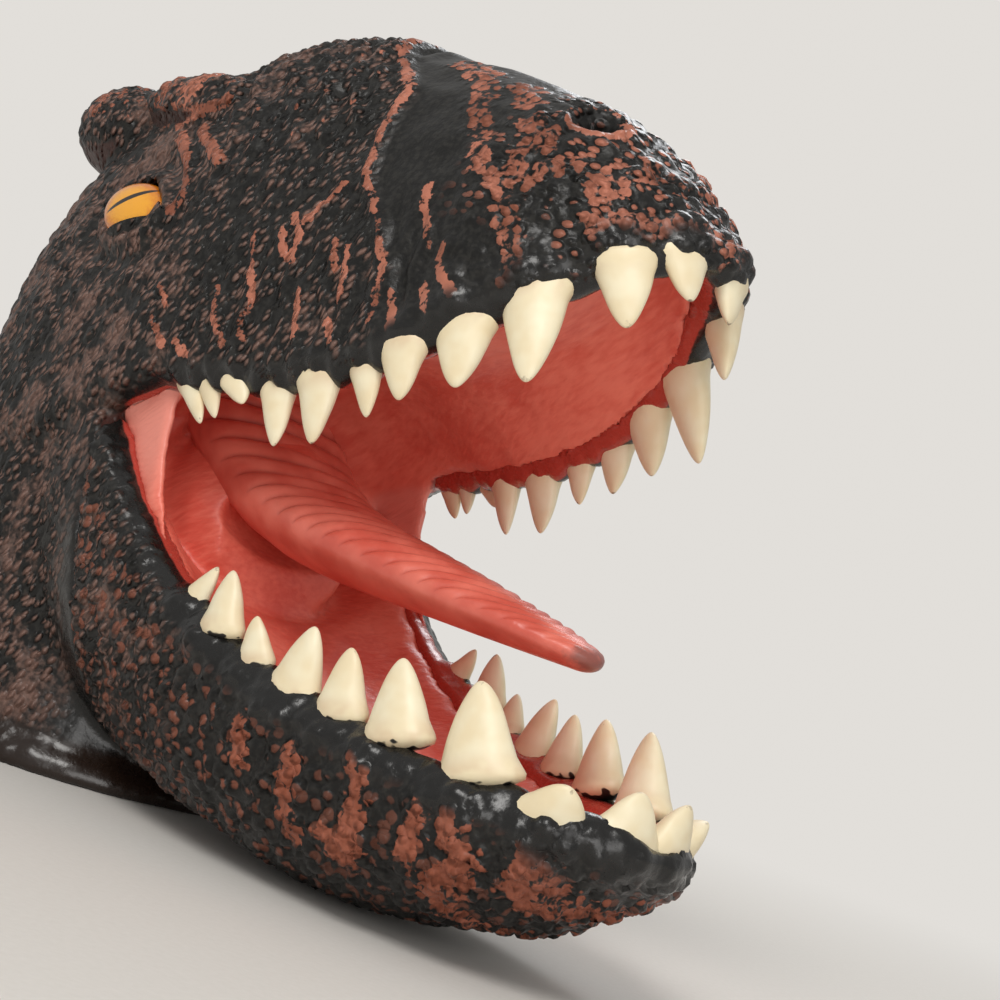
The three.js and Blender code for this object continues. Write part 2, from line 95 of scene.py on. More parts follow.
def put_back(mesh, points):
    """Moves the points of a mesh to new places in millimetres of the drawing."""
    flat = (points + np.array([DRAWING_ZERO, 0, 0])) * MM
    mesh.vertices.foreach_set("co", flat.ravel())
    mesh.update()


def keep_values(mesh, **values):
    """One number per point, or the same for all, which a material can read by its name."""
    for name, numbers in values.items():
        layer = mesh.attributes.new(name, "FLOAT", "POINT")
        layer.data.foreach_set("value", np.full(len(mesh.vertices), numbers, dtype=np.float32))


def ramp(values, low, high):
    """0 below low, 1 above high and a smooth rise between them."""
    t = np.clip((values - low) / (high - low), 0, 1)
    return t * t * (3 - 2 * t)


def fall(values, low, high):
    """1 below low, 0 above high and a smooth fall between them."""
    return 1 - ramp(values, low, high)


def hill(distance, width, power=2):
    """1 at distance 0, falling off on both sides. A higher power makes the hill steeper."""
    return np.exp(-(distance / width) ** power)


def rows_of(x, y, z):
    """Rows of three numbers from three columns, each of which may be a single number."""
    return np.stack(np.broadcast_arrays(x, y, z), axis=1)


def both_sides(points):
    """The points with the right half folded onto the left."""
    return rows_of(points[:, 0], np.abs(points[:, 1]), points[:, 2])


def mound(points, centre, size):
    """1 in a place on both sides of the head, falling off over size millimetres."""
    return np.exp(-(((both_sides(points) - centre) / size) ** 2).sum(axis=1))


def waves(points, size, seed=0.0):
    """Soft noise from -1 to 1 whose lumps are about size millimetres across."""
    offset = Vector((seed, seed * 1.7, -seed))
    return np.array([noise.noise(Vector(p) / size + offset) for p in points])


# %% [markdown]
# ## From separate mouldings to one skin
# The solids stop 0.3 mm short of each other so that a simulation can move them. On the real puppet
# the vinyl runs on. So copies of neighbouring walls are swollen until they meet, and a voxel remesh
# draws one even skin of small squares over them, which is also what sculpting needs.

# %% Helpers for moulded pieces
SAME_POINT = 0.002  # points closer than this are one
BEAD = 1.9  # radius of the beads that fill a seam
FACES_IN = 0.3  # below this a point looks into the glove
OFF_THE_WALL = 1.5  # the test for hidden points starts this far off the wall
HOLLOW = 90  # a wall nearer than this hides the point
KEEP_TO_GROUP = 1000  # how strictly the decimation stays with its group


def piece_from(name, bm):
    """A new object with the shape of a bmesh."""
    mesh = bpy.data.meshes.new(name)
    bm.to_mesh(mesh)
    bm.free()
    mesh.shade_smooth()
    piece = bpy.data.objects.new(name, mesh)
    bpy.context.scene.collection.objects.link(piece)
    return piece


def finish_modifiers(piece):
    """Makes the piece's modifiers permanent."""
    graph = bpy.context.evaluated_depsgraph_get()
    mesh = bpy.data.meshes.new_from_object(piece.evaluated_get(graph))
    piece.modifiers.clear()
    piece.data = mesh
    mesh.name = piece.name


def smooth_points(mesh, rounds, which=None):
    """Draws points halfway to the middle of their neighbours, all of them or those in which."""
    bm = bmesh.new()
    bm.from_mesh(mesh)
    bm.verts.ensure_lookup_table()
    chosen = bm.verts if which is None else [bm.verts[i] for i in which]
    for _ in range(rounds):
        bmesh.ops.smooth_vert(bm, verts=chosen, factor=0.5, use_axis_x=True, use_axis_y=True,
                              use_axis_z=True)
    bm.to_mesh(mesh)
    bm.free()


def moulded(name, nodes, swell, square, rounds, beads=()):
    """One skin over copies of some nodes, and over beads of BEAD radius that fill a seam."""
    bm = bmesh.new()
    for node in nodes:
        bm.from_mesh(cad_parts[node].data)
    bmesh.ops.remove_doubles(bm, verts=bm.verts, dist=SAME_POINT * MM)
    bm.normal_update()
    for vert in bm.verts:
        vert.co += vert.normal * (swell * MM)
    for place in beads:
        bmesh.ops.create_icosphere(bm, subdivisions=2, radius=BEAD * MM,
                                   matrix=Matrix.Translation(spot(*place)))
    piece = piece_from(name, bm)
    skin = piece.modifiers.new("even squares", "REMESH")
    skin.mode = "VOXEL"
    skin.voxel_size = square * MM
    finish_modifiers(piece)
    smooth_points(piece.data, rounds)
    piece.data.shade_smooth()
    print(name, "has", len(piece.data.polygons), "faces")
    return piece


def thin_inside(piece, outward, share):
    """Fewer faces where nobody looks. outward is 0 inside the glove and 1 outside."""
    tree = BVHTree.FromPolygons([v.co for v in piece.data.vertices],
                                [p.vertices for p in piece.data.polygons])
    group = piece.vertex_groups.new(name="inside")
    hidden = 0
    for vert, seen in zip(piece.data.vertices, outward):
        if seen < FACES_IN:
            start = vert.co + vert.normal * (OFF_THE_WALL * MM)
            if tree.ray_cast(start, vert.normal, HOLLOW * MM)[0] is not None:
                group.add([vert.index], 1.0, "REPLACE")
                hidden += 1
    fewer = piece.modifiers.new("fewer inside", "DECIMATE")
    fewer.ratio = share
    fewer.vertex_group = group.name
    fewer.vertex_group_factor = KEEP_TO_GROUP
    finish_modifiers(piece)
    piece.vertex_groups.clear()
    triangles = sum(len(p.vertices) - 2 for p in piece.data.polygons)
    print(piece.name, "hidden points:", hidden, "triangles now:", triangles)


# %% [markdown]
# ## Where the worn paint is
# The vinyl is terracotta, sprayed black. On raised folds the black has been wiped off, so bumps and
# colour share one set of marks. Each mark is a short line in the side view, as (forward, up) in
# millimetres. Both cheeks get the same marks, a little broken up by noise.

# %% Marks on the skin
# The ridge down from the top of the snout.
NASAL_RIDGE = [(-42, 146), (-23, 132), (-20, 119), (-18, 113), (-9, 104), (-5, 98), (-4, 89)]
CHEEK_MARKS = [
    [(-30, 104.5), (-27, 101.6), (-27, 98.3)], [(-31, 101.7), (-29, 97.7), (-26, 96.5)],
    [(-37, 100.3), (-35, 94.1), (-32, 88.8), (-33, 84.5), (-31, 82.1)],
    [(-41, 89.9), (-39, 84.5), (-35, 80.3)], [(-55, 88.3), (-52, 85.4)],
    [(-54, 82.4), (-49, 78.1)], [(-46, 79.1), (-43, 77.4)], [(-22, 91.8), (-20, 84.3)],
    [(-22, 111.4), (-25, 106.8), (-27, 103.9)], [(-18, 100.9), (-16, 96.4)],
    [(-15, 100.6), (-13, 95.7), (-12, 91.3)], [(-13, 87.2), (-11, 84.8)],
    [(-2, 94.1), (0, 90.3), (1, 87.2)], [(-4, 112.9), (-3, 109.5), (0, 105.5), (2, 102.4)],
    [(5, 103.3), (5, 100.7), (7, 98), (10, 95.5)], [(4, 95.9), (6, 92.5)],
]
FOREHEAD_FOLDS = [
    [(-62, 131.6), (-51, 122.3), (-47, 116)], [(-54, 133.9), (-43, 124.9), (-38, 117)],
    [(-47, 136.2), (-38, 127.7), (-33, 120)], [(-43, 139.5), (-33, 129.4), (-28, 123)],
    [(-41, 142.6), (-27, 128.8)], [(-68, 131), (-58, 122), (-54, 117.5)],
]
HORN_FOLDS = [[(-78, 121.5), (-70, 123.9), (-64, 125.6)]]
EYE_FOLDS = [
    [(-73, 118), (-66, 113.5), (-62, 109), (-60.5, 105.1), (-61.5, 102.5)],
    [(-67, 119.5), (-60, 116), (-54.5, 113)],
]
SNOUT_MARKS = [
    [(-23, 141.7), (-12, 136.6), (-6, 129.8), (-1, 124), (4, 117.3)],
    [(8, 115.9), (11, 113.5), (14, 107.5)], [(16, 105.3), (17, 104), (18, 99.7)],
    [(-4, 135.6), (3, 131.1)], [(5, 127.5), (10, 125.2), (13, 122.5)], [(9, 121.9), (11, 117.4)],
    [(14, 116), (17, 119.6), (19, 120.4)], [(23, 118.8), (25, 114.8), (26, 119.4)],
    [(26, 111.4), (30, 113.3), (34, 114.1), (37, 115.5)], [(26, 123.5), (27, 122.4)],
]
JAW_MARKS = [
    [(23, 24.6), (25, 19.2), (23, 10.4), (19, 12.5)],
    [(41, 23.3), (40, 19.1), (43, 16.9), (37, 11.2), (35, 8.2)],
    [(52, 24.9), (51, 19.9), (49, 16.3), (47, 13.1)], [(11, 21), (11, 15.1), (12, 11)],
    [(-1, 23.1), (0, 17.8)], [(35, 19.7), (34, 14)],
]


def closeness(points, lines, width):
    """1 on a line of the side view, falling to 0 at width millimetres from it."""
    flat = points[:, [0, 2]]
    nearest = np.full(len(flat), np.inf)
    for line in lines:
        for start, end in zip(line, line[1:]):
            a, b = np.array(start, float), np.array(end, float)
            along = np.clip(((flat - a) @ (b - a)) / ((b - a) @ (b - a)), 0, 1)
            gap = np.linalg.norm(flat - a - along[:, None] * (b - a), axis=1)
            nearest = np.minimum(nearest, gap)
    return fall(nearest, 0, width)


def read_line(line, at):
    """The second number of a line of pairs where its first number is at."""
    return np.interp(at, line[:, 0], line[:, 1])


# The edges of both lips in the side view, from the neck to the front.
UPPER_LIP = np.array([(-134, 50), (-90, 54), (-62, 66), (-44, 73.5), (-24, 76.2), (-5, 81.8),
                      (10, 90), (20, 98), (31, 107), (37.6, 109.5)])
LOWER_LIP = np.array([(-104, 82), (-76, 74), (-62, 65.6), (-44, 50), (-24, 38), (-5, 31.8),
                      (14, 28.7), (40, 27), (60, 27.5)])

# %% [markdown]
# ## Where the teeth stand
# No two teeth of a side are alike. Every row gives the tip, the root on the gum and the width of one
# tooth, from the back of the mouth to the front. The other side is the mirror image. The skin needs
# the rows too, because its gum swells round every root.

# %% Tooth rows
UPPER_TEETH = [
    ((-38.9, 30.5, 67.2), (-44.2, 31.9, 73.6), 5.4),
    ((-35.7, 30.2, 68.6), (-39.8, 31.5, 75.0), 5.4),
    ((-28.8, 30.8, 71.5), (-32.6, 30.6, 75.6), 5.8),
    ((-20.6, 27.6, 66.3), (-24.6, 27.6, 76.1), 7.4),
    ((-11.6, 27.2, 68.0), (-14.9, 27.1, 78.5), 8.8),
    ((-2.2, 25.2, 74.4), (-5.5, 26.0, 82.1), 6.4),
    ((4.5, 25.9, 77.7), (1.9, 25.7, 86.3), 8.6),
    ((14.5, 23.5, 81.8), (10.4, 22.3, 92.1), 10.8),
    ((26.3, 20.7, 84.9), (19.1, 18.2, 99.5), 11.6),
    ((33.8, 12.1, 97.1), (29.4, 12.3, 107.3), 10.0),
    ((37.6, 4.8, 104.3), (34.6, 5.7, 111.2), 8.4),
]
LOWER_TEETH = [
    ((-21.2, 29.8, 44.6), (-24.2, 30.3, 38.5), 5.6),
    ((-15.7, 30.5, 45.0), (-14.4, 30.3, 35.7), 8.8),
    ((-6.8, 29.8, 39.4), (-5.4, 28.6, 32.8), 7.0),
    ((4.8, 27.3, 40.7), (3.8, 26.9, 30.5), 9.6),
    ((12.1, 25.6, 39.4), (13.6, 24.6, 29.9), 9.2),
    ((21.4, 23.1, 40.4), (24.9, 22.2, 29.3), 11.2),
    ((34.6, 19.4, 40.8), (39.1, 17.9, 28.1), 12.8),
    ((54.4, 15.2, 31.0), (50.6, 13.0, 25.6), 11.0),
    ((58.3, 5.0, 33.2), (56.6, 4.6, 26.4), 10.4),
]
ARCH = 2.6  # how far the lip's arch between two teeth reaches to each side
GUM_SHARE, GUM_MARGIN = 0.62, 0.8  # the gum swells over this share of a width and a bit more


def between_teeth(points, rows):
    """1 on the lip halfway between two roots, 0 at the roots."""
    roots = np.array([root for tip, root, width in rows])
    middles = (roots[1:] + roots[:-1]) / 2
    folded = both_sides(points)
    nearest = np.min([np.linalg.norm(folded - middle, axis=1) for middle in middles], axis=0)
    return hill(nearest, ARCH)


def gum_swell(points, rows):
    """1 at the root of a tooth, falling to 0 round it."""
    folded = both_sides(points)
    swell = np.zeros(len(points))
    for tip, root, width in rows:
        gap = np.linalg.norm(folded - root, axis=1)
        swell = np.maximum(swell, hill(gap, GUM_SHARE * width + GUM_MARGIN, 4))
    return swell


def inner_side(points, normals, axis):
    """1 where a lip faces the mouth or straight up or down, 0 on its outer side."""
    sideways = (points - axis) * np.array([1, 1, 0])
    sideways /= np.maximum(np.linalg.norm(sideways, axis=1), TINY)[:, None]
    cosine = (normals * sideways).sum(axis=1)
    return fall(cosine, 0.0, 0.35)


# %% [markdown]
# ## Outside and inside
# Only the outer face of the glove's wall is sculpted and painted. A point is on it if its normal
# points away from a line through the middle of the glove, given in the side view again.

# %% Outside and inside
HEAD_AXIS = np.array([(-136, 70), (-75, 78), (-60, 86), (38, 104)])
JAW_AXIS = np.array([(-62, 46), (-28, 34), (60, 30)])
HEAD_AXIS_ENDS = (-100, 18)
NECK_MIDDLE, NECK_TOP = -92, 60  # below the top of the neck the line stands upright
JAW_AXIS_SHARE = 0.9  # the jaw's line is a little shorter than the jaw


def away(points, normals, axis):
    """1 where a normal points away from the axis of the glove, 0 where it points at it."""
    from_axis = points - axis
    size = np.maximum(np.linalg.norm(from_axis, axis=1), TINY)
    cosine = (normals * from_axis).sum(axis=1) / size
    return ramp(cosine, -0.1, 0.35)


def head_outward(points, normals):
    """1 on the outer face of head and neck, 0 on the inner one."""
    in_neck = points[:, 2] < NECK_TOP
    ahead = np.where(in_neck, NECK_MIDDLE, np.clip(points[:, 0], *HEAD_AXIS_ENDS))
    height = np.where(in_neck, points[:, 2], read_line(HEAD_AXIS, points[:, 0]))
    return away(points, normals, rows_of(ahead, 0, height))


def jaw_outward(points, normals):
    """1 on the outer face of the jaw, 0 on the inner one."""
    ahead, height = points[:, 0] * JAW_AXIS_SHARE, read_line(JAW_AXIS, points[:, 0])
    return away(points, normals, rows_of(ahead, 0, height))


# %% [markdown]
# ## The head's skin
# Neck, cheeks, brow and snout are one skin. After the remesh, every feature becomes a mask, a number
# from 0 to 1 for each point. Later, all masks together push the points out.

# %% Head skin
SQUARE, ROUNDS = 0.92, 6  # size of the squares of both skins, and rounds of smoothing
KEPT_INSIDE = 0.6  # share of the faces that the decimation leaves
LIP_WANDER = 1.5  # how far the edge of a lip wanders
EYE = (-75.0, 35.0, 102.2)  # middle of the left eye
EYE_SIZE = (8.2, 6.0)  # half its length and half its height
BROW, BROW_SIZE = (-82, 29, 127), (13, 8, 7)
HORN, HORN_SIZE = (-110, 26, 127), (12, 8, 8)

head_skin = moulded("head_skin_dressed", ["head_skin"], swell=0.1, square=SQUARE, rounds=ROUNDS)
mesh = head_skin.data
thin_inside(head_skin, head_outward(points_of(mesh), normals_of(mesh)), KEPT_INSIDE)
mesh = head_skin.data
points, normals = points_of(mesh), normals_of(mesh)
# These two names follow when the points are moved. The sides don't.
forward, up = points[:, 0], points[:, 2]
side = np.abs(points[:, 1])
outward = head_outward(points, normals)
above_lip = up - read_line(UPPER_LIP, forward)
in_mouth_part = ramp(forward, -66, -56)
lip = in_mouth_part * fall(above_lip + LIP_WANDER * waves(points, 5.0, 8.0), 0.5, 3.5)
ridge = closeness(points, [NASAL_RIDGE], 2.4)
cheek = closeness(points, CHEEK_MARKS, 2.0)
snout = closeness(points, SNOUT_MARKS, 4.0)
fold = closeness(points, EYE_FOLDS + HORN_FOLDS, 3.0)
grit = waves(points, 2.2)
lumps = waves(points, 6.0, 3.0)
brow = mound(points, BROW, BROW_SIZE)
horn = mound(points, HORN, HORN_SIZE)
gums = gum_swell(points, UPPER_TEETH)
print("points outside:", int((outward > FACES_IN).sum()))

# %% [markdown]
# Creases fan out over the forehead, and fine wrinkles stand above the lip. In front of the ridge a
# stripe is smooth, and the rest of the snout is covered in pebbles that are drawn out forwards. A
# sine wave draws creases, and noise inside the wave makes them wander.

# %% Creases and pebbles
RIDGE_AT_HEIGHT = np.array([(89, -4), (98, -5), (113, -18), (119, -20), (132, -23), (146, -42)])
GROOVE_START = 0.35  # a pebble is level up to this share of the way to its edge


def pebbles(points, size, stretch):
    """Rounded bumps about size millimetres across: 1 on top of each, 0 in the grooves."""
    scaled = points / (np.array(stretch) * size)
    nearest = [noise.voronoi(Vector(p))[0] for p in scaled]
    return fall(np.array([d[0] / max(d[1], TINY) for d in nearest]), GROOVE_START, 1.0)


forehead = closeness(points, FOREHEAD_FOLDS, 2.2)
wrinkles = np.sin(1.35 * forward + 0.25 * up + 2.2 * lumps)
wrinkle_zone = ramp(forward, -54, -44) * fall(forward, 0, 10) * fall(above_lip, 20, 34)
top_folds = (np.sin(1.2 * forward + 0.12 * side + 1.4 * lumps)
             * ramp(up, 122, 133) * ramp(forward, -76, -68) * fall(forward, -36, -27))
past_ridge = forward - read_line(RIDGE_AT_HEIGHT, up)
bare = ramp(past_ridge, 0, 4) * fall(forward, 0, 8)
snout_zone = ramp(forward, -2, 8) * (1 - lip)
scale_zone = fall(past_ridge, -4, 1) * (1 - lip) * (1 - wrinkle_zone)
scales = pebbles(points, 2.7, (0.8, 1, 1.5))
stones = pebbles(points, 3.4, (1.5, 1, 0.9))

# %% [markdown]
# A nostril is a round pit with a raised rim. How far a point is from the axis that leads out of it
# decides whether it lies in the pit or on the rim.

# %% Nostrils
NOSTRIL = (14.0, 12.4, 130.6)  # middle of the left nostril
NOSTRIL_AXIS = (0.45, 0.6, 0.65)
NOSTRIL_REACH = 6  # only points this near along the axis belong to it
FAR_OFF = 20  # stands for any point that doesn't
RIM_RADIUS, RIM_WIDTH, PIT_RADIUS = 5.0, 1.2, 3.7

mirror = rows_of(1, np.sign(points[:, 1]), 1)
out_of_nostril = mirror * NOSTRIL_AXIS
from_nostril = points - mirror * NOSTRIL
depth = (from_nostril * out_of_nostril).sum(axis=1)
nostril = np.linalg.norm(from_nostril - depth[:, None] * out_of_nostril, axis=1)
nostril[np.abs(depth) > NOSTRIL_REACH] = FAR_OFF
below_pit = 0.5 * from_nostril[:, 0] - 0.8 * from_nostril[:, 2]
nostril_rim = hill(nostril - RIM_RADIUS, RIM_WIDTH) * (0.45 + 0.55 * ramp(below_pit, -2, 3))
nostril_pit = hill(nostril, PIT_RADIUS, 4)

# %% [markdown]
# Round the eye, distance is counted in eye sizes: 1 is its rim. Rings further out make a raised lid
# and a deeper socket.

# %% Eye sockets
EYE_TURN, EYE_LEAN = (0.97, -0.24), 0.985  # the eye looks sideways, a little forward and up
FAR_RING = 9.0  # stands for any point far from the eye
LID_RING, SOCKET_RING, RING_WIDTH, WIDE_RING = 1.28, 1.75, 0.2, 0.35

eye_fore = (forward - EYE[0]) * EYE_TURN[0] + (side - EYE[1]) * EYE_TURN[1]
eye_up = (up - EYE[2]) * EYE_LEAN
eye_near = (side > 20) & (np.abs(eye_fore) < 22) & (np.abs(eye_up) < 20)
eye_ring = np.hypot(eye_fore / EYE_SIZE[0], eye_up / EYE_SIZE[1])
eye_ring[~eye_near] = FAR_RING
raised_lid = hill(eye_ring - LID_RING, RING_WIDTH)
socket = hill(eye_ring - SOCKET_RING, WIDE_RING)
eye_rim = hill(eye_ring - 1, WIDE_RING) * outward
print("points round the eyes:", int(eye_near.sum()))

# %% [markdown]
# ## Pushing the relief out
# Every mask gets a height in millimetres, and a minus sign presses it in. Their sum moves each point
# of the outer face along its normal. No point goes below zero, where the puppet stands.

# %% Push the head's relief out
NOSTRIL_DEPTH = 3.0
UPPER_ARCH_HEIGHT = 1.7  # how far the upper lip hangs down between two teeth
LOWER_LID_RISE, UPPER_LID_DROP = 2.4, 0.5


def push_out(points, normals, outward, forms):
    """Moves points along their normals by a sum of forms, which are pairs of height and mask."""
    relief = outward * sum(height * mask for height, mask in forms)
    points += normals * relief[:, None]
    print("highest form:", round(float(relief.max()), 2), "mm")


def put_above_floor(mesh, points):
    """Moves a mesh to its new points, none of them below the floor."""
    points[:, 2] = np.maximum(points[:, 2], 0)
    put_back(mesh, points)


push_out(points, normals, outward, [
    (0.9, ridge * (0.75 + 0.5 * grit)),
    (0.55, cheek * (0.6 + 0.8 * grit)),
    (0.3, snout * stones),
    (0.75, snout_zone * stones),
    (1.1, forehead * (0.8 + 0.4 * grit)),
    (0.6, top_folds),
    (0.9, gums),
    (-0.6, bare * (1 - lip)),
    (0.32, wrinkles * wrinkle_zone),
    (0.55, scales * scale_zone),
    (0.28, lumps),
    (1.0, brow * (1 + 0.9 * waves(points, 3.2, 9.0))),
    (0.7, horn),
    (1.1, fold),
    (1.3, raised_lid),
    (-0.9, socket),
    (0.9, nostril_rim),
])
points -= out_of_nostril * (NOSTRIL_DEPTH * nostril_pit * outward)[:, None]
points[:, 2] -= UPPER_ARCH_HEIGHT * between_teeth(points, UPPER_TEETH)
points[:, 2] += eye_rim * np.where(eye_up < 0, LOWER_LID_RISE, -UPPER_LID_DROP)
put_above_floor(mesh, points)

# %% [markdown]
# The paint follows the same masks. The skin's material reads them by their names later.

# %% Masks for the head's paint
worn = np.maximum.reduce([1.35 * snout, 0.55 * forehead, 1.2 * brow, 0.9 * horn])
line = np.maximum.reduce([0.88 * ridge, 0.94 * cheek, 1.3 * fold, 1.5 * nostril_rim,
                          1.5 * brow * (lumps + 0.7), 1.2 * horn * (lumps + 0.6)])
beaded = np.maximum(ramp(up, 106, 117), ramp(forward, 18, 25))
along = rows_of(np.clip(forward, *HEAD_AXIS_ENDS), 0, 0)
keep_values(
    mesh,
    worn=np.clip(worn * (1 - nostril_pit), 0, 1) * (1 - 0.8 * lip),
    lip=np.clip(lip + gums, 0, 1),
    fine=fall(past_ridge, -3, 3) * (1 - lip) * ramp(up, 5, 9),
    stones=snout_zone * beaded * (1 - nostril_pit) * (1 - 0.6 * nostril_rim),
    # The nostril pits are painted pure black: partly the black paint, partly painted shade in the
    # hollow.
    pit=nostril_pit,
    line=np.clip(line, 0, 1) * (1 - nostril_pit) * (1 - 0.8 * lip),
    # How much pale rub the scales get: partly wiped paint, partly a painted sheen.
    rub=0.35 + 0.65 * fall(forward, -62, -38),
    gum=inner_side(points, normals, along) * fall(np.abs(above_lip), 6, 8) * in_mouth_part,
    deep=0,
    pebble=0,
    outward=outward,
    rim=fall(up, 6, 8))

# %% [markdown]
# ## The jaw's skin and the fold behind it
# When the jaw turns, the vinyl between jaw and neck bends. Jaw skin and throat fold are therefore
# one mesh.

# %% Jaw skin
CHIN_PIT, CHIN_PIT_RADIUS = (52, 21.1), 1.5
LOWER_ARCH_HEIGHT = 1.4  # how far the lower lip rises between two teeth

jaw_skin = moulded("jaw_skin_dressed", ["jaw_skin", "throat_fold"], swell=0.22, square=SQUARE,
                   rounds=ROUNDS)
mesh = jaw_skin.data
points, normals = points_of(mesh), normals_of(mesh)
forward, up = points[:, 0], points[:, 2]
outward = jaw_outward(points, normals)
below_lip = read_line(LOWER_LIP, forward) - up
lip = fall(below_lip + LIP_WANDER * waves(points, 5.0, 8.0), 1.5, 5.0)
bars = closeness(points, JAW_MARKS, 4.6)
lumps = waves(points, 6.0, 5.0)
stones = pebbles(points, 2.7, (1.15, 1, 1))
gums = gum_swell(points, LOWER_TEETH)
chin_pit = hill(np.hypot(forward - CHIN_PIT[0], up - CHIN_PIT[1]), CHIN_PIT_RADIUS)
push_out(points, normals, outward, [
    (0.35, bars * stones),
    (0.9, stones * (1 - 0.6 * lip)),
    (0.4, lumps),
    (0.4, bars),
    (1.7, gums),
    (-1.3, chin_pit),
])
points[:, 2] += LOWER_ARCH_HEIGHT * between_teeth(points, LOWER_TEETH)
put_above_floor(mesh, points)

# %% [markdown]
# The jaw's masks have the same names as the head's, so that one material serves both.

# %% Masks for the jaw's paint
JAW_LIP_ENDS = (-60, 40)

along = rows_of(np.clip(forward, *JAW_LIP_ENDS), 0, 0)
keep_values(
    mesh,
    worn=np.clip(1.3 * bars, 0, 1) * (1 - 0.7 * lip),
    lip=np.clip(lip + gums, 0, 1),
    fine=fall(forward, -34, -14) * (1 - lip),
    stones=0,
    # The chin pits are painted pure black too: partly the paint, partly painted shade in the hollow.
    pit=chin_pit,
    line=np.clip(1.1 * closeness(points, JAW_MARKS, 3.2), 0, 1) * (1 - 0.8 * lip),
    rub=0.8,
    deep=1,
    gum=inner_side(points, normals, along) * fall(np.abs(below_lip), 6, 8),
    pebble=(1 - lip) * (0.6 + 0.4 * fall(forward, 0, 14)) * ramp(below_lip, 3, 9),
    outward=outward,
    rim=0)

# %% [markdown]
# ## The mouth
# Palate, throat, cheek corners and the floor of the mouth are one red lining on the real puppet. The
# same swelling and remeshing joins the solids. A string of beads fills the seam above each web.

# %% Mouth lining
SEAM = [(-61.5, 31.3, 66.8), (-60, 31.0, 68.3), (-57, 30.8, 70.2),
        (-54, 30.5, 71.6), (-50, 29.6, 72.8), (-47, 28.9, 73.6)]
BEADS_PER_STRETCH = 4
SOFT_HEIGHT = 0.25

beads = [tuple(Vector(start).lerp(Vector(end), step / BEADS_PER_STRETCH))
         for start, end in zip(SEAM, SEAM[1:]) for step in range(BEADS_PER_STRETCH)]
beads += [(x, -y, z) for x, y, z in beads]
mouth = moulded("mouth_lining", ["palate", "throat_lining", "mouth_floor", "corner_web_right",
                                 "corner_web_left"], swell=0.2, square=1.0, rounds=4, beads=beads)
mesh = mouth.data
points = points_of(mesh)
points += normals_of(mesh) * (SOFT_HEIGHT * waves(points, 9.0, 2.0))[:, None]
put_back(mesh, points)

# %% [markdown]
# A slit between lining and skin would show. So every point of the lining that lies close to a skin
# and faces it is drawn onto that skin and a little way in, and the edge is smoothed.

# %% Draw the lining onto the skins
INTO_SKIN = 0.7  # how far the edge of the lining goes into the skin
SNAPS, STAYS = 1.5, 3.2  # nearer than the first a point goes all the way, beyond the second it stays
EDGE_ZONE, EDGE_ROUNDS = 4, 4  # the zone that is smoothed, and how often

skin_points = [v.co for piece in (head_skin, jaw_skin) for v in piece.data.vertices]
near_skin = KDTree(len(skin_points))
for index, place in enumerate(skin_points):
    near_skin.insert(place, index)
near_skin.balance()
found = [near_skin.find(v.co) for v in mesh.vertices]
gap = np.array([hit[2] for hit in found]) / MM
towards = np.array([hit[0] - v.co for hit, v in zip(found, mesh.vertices)]) / MM
towards /= np.maximum(gap, TINY)[:, None]
points = points_of(mesh)
facing_skin = np.maximum(ramp((normals_of(mesh) * towards).sum(axis=1), -0.5, 0),
                         ramp(np.abs(points[:, 1]), 31.5, 33))
points += towards * ((gap + INTO_SKIN) * fall(gap, SNAPS, STAYS) * facing_skin)[:, None]
put_back(mesh, points)
smooth_points(mesh, EDGE_ROUNDS, np.where(gap < EDGE_ZONE)[0])
keep_values(mesh, edge=fall(gap, 0.3, 1.6),
            # The cheek webs, which get a lighter pink as painted light.
            corner=ramp(np.abs(points[:, 1]), 27.5, 29.5) * fall(points[:, 0], -50, -42))
print("points of the lining's edge:", int((gap < EDGE_ZONE).sum()))

# %% [markdown]
# ## The tongue
# The tongue climbs out of the throat, bends over and points forward. It starts as a ball whose rings
# are moved out along a bent spine, so both ends are closed from the start. The ribs are a wave along
# the spine that fades out towards the underside.

# %% Tongue
SPINE = np.array([(-72, 78.5), (-66, 73.2), (-59, 67.5), (-51, 62.6), (-42, 58.8), (-33, 56.4),
                  (-24, 55.0), (-8, 53.3), (12, 51.2), (26, 49.8), (37.2, 48.4)])
HALF_WIDTH = np.array([19, 18.5, 17.6, 17, 16.4, 16, 15.5, 14.3, 12, 8.6, 3.2])
HALF_DEPTH = np.array([7.5, 7.8, 7.8, 7.6, 7.2, 6.9, 6.4, 5.4, 4.0, 3.0, 1.9])
RINGS, ROUND = 330, 64
SLOPE_STEP = 4  # the spine's slope is measured over this much either way
TAIL_LENGTH, TIP_LENGTH = 4, 3.2  # the ends are rounded over these lengths
FIRST_RIB, SHORTER = 6.4, 0.0032  # length of the first rib, and how fast they get shorter
RIB_HEIGHT, RIB_SHARPNESS, RIB_MIDDLE = 2.1, 0.55, 0.6
RIB_WANDER, WANDER_SIZE = 1.6, 14
RIBS_START, RIBS_END = 8, 30  # the ribs fade in and out over these lengths
BOW, BOW_GROWS = 2.5, 0.05  # the ribs are bent at the sides, more so further out
FLATNESS, TOP_SHARE, UNDER_SHARE = 0.85, 0.86, 1.05
AT_THE_POLE = 0.01  # points closer than this are one


def end_cap(to_the_end, length):
    """1 along the tongue, falling to 0 like a quarter circle over the last length."""
    return math.sqrt(max(0, 1 - max(0, (length - to_the_end) / length) ** 2))


def ball_place(vert):
    """The share of the way between the poles of the unit ball, and the turn round it."""
    share = math.acos(max(-1, min(1, -vert.co.z))) / math.pi
    return share, math.atan2(vert.co.y, vert.co.x)


def closed(bm):
    """The bmesh with joined poles and all faces turned outwards."""
    bmesh.ops.remove_doubles(bm, verts=bm.verts, dist=AT_THE_POLE * MM)
    bmesh.ops.recalc_face_normals(bm, faces=bm.faces)
    return bm


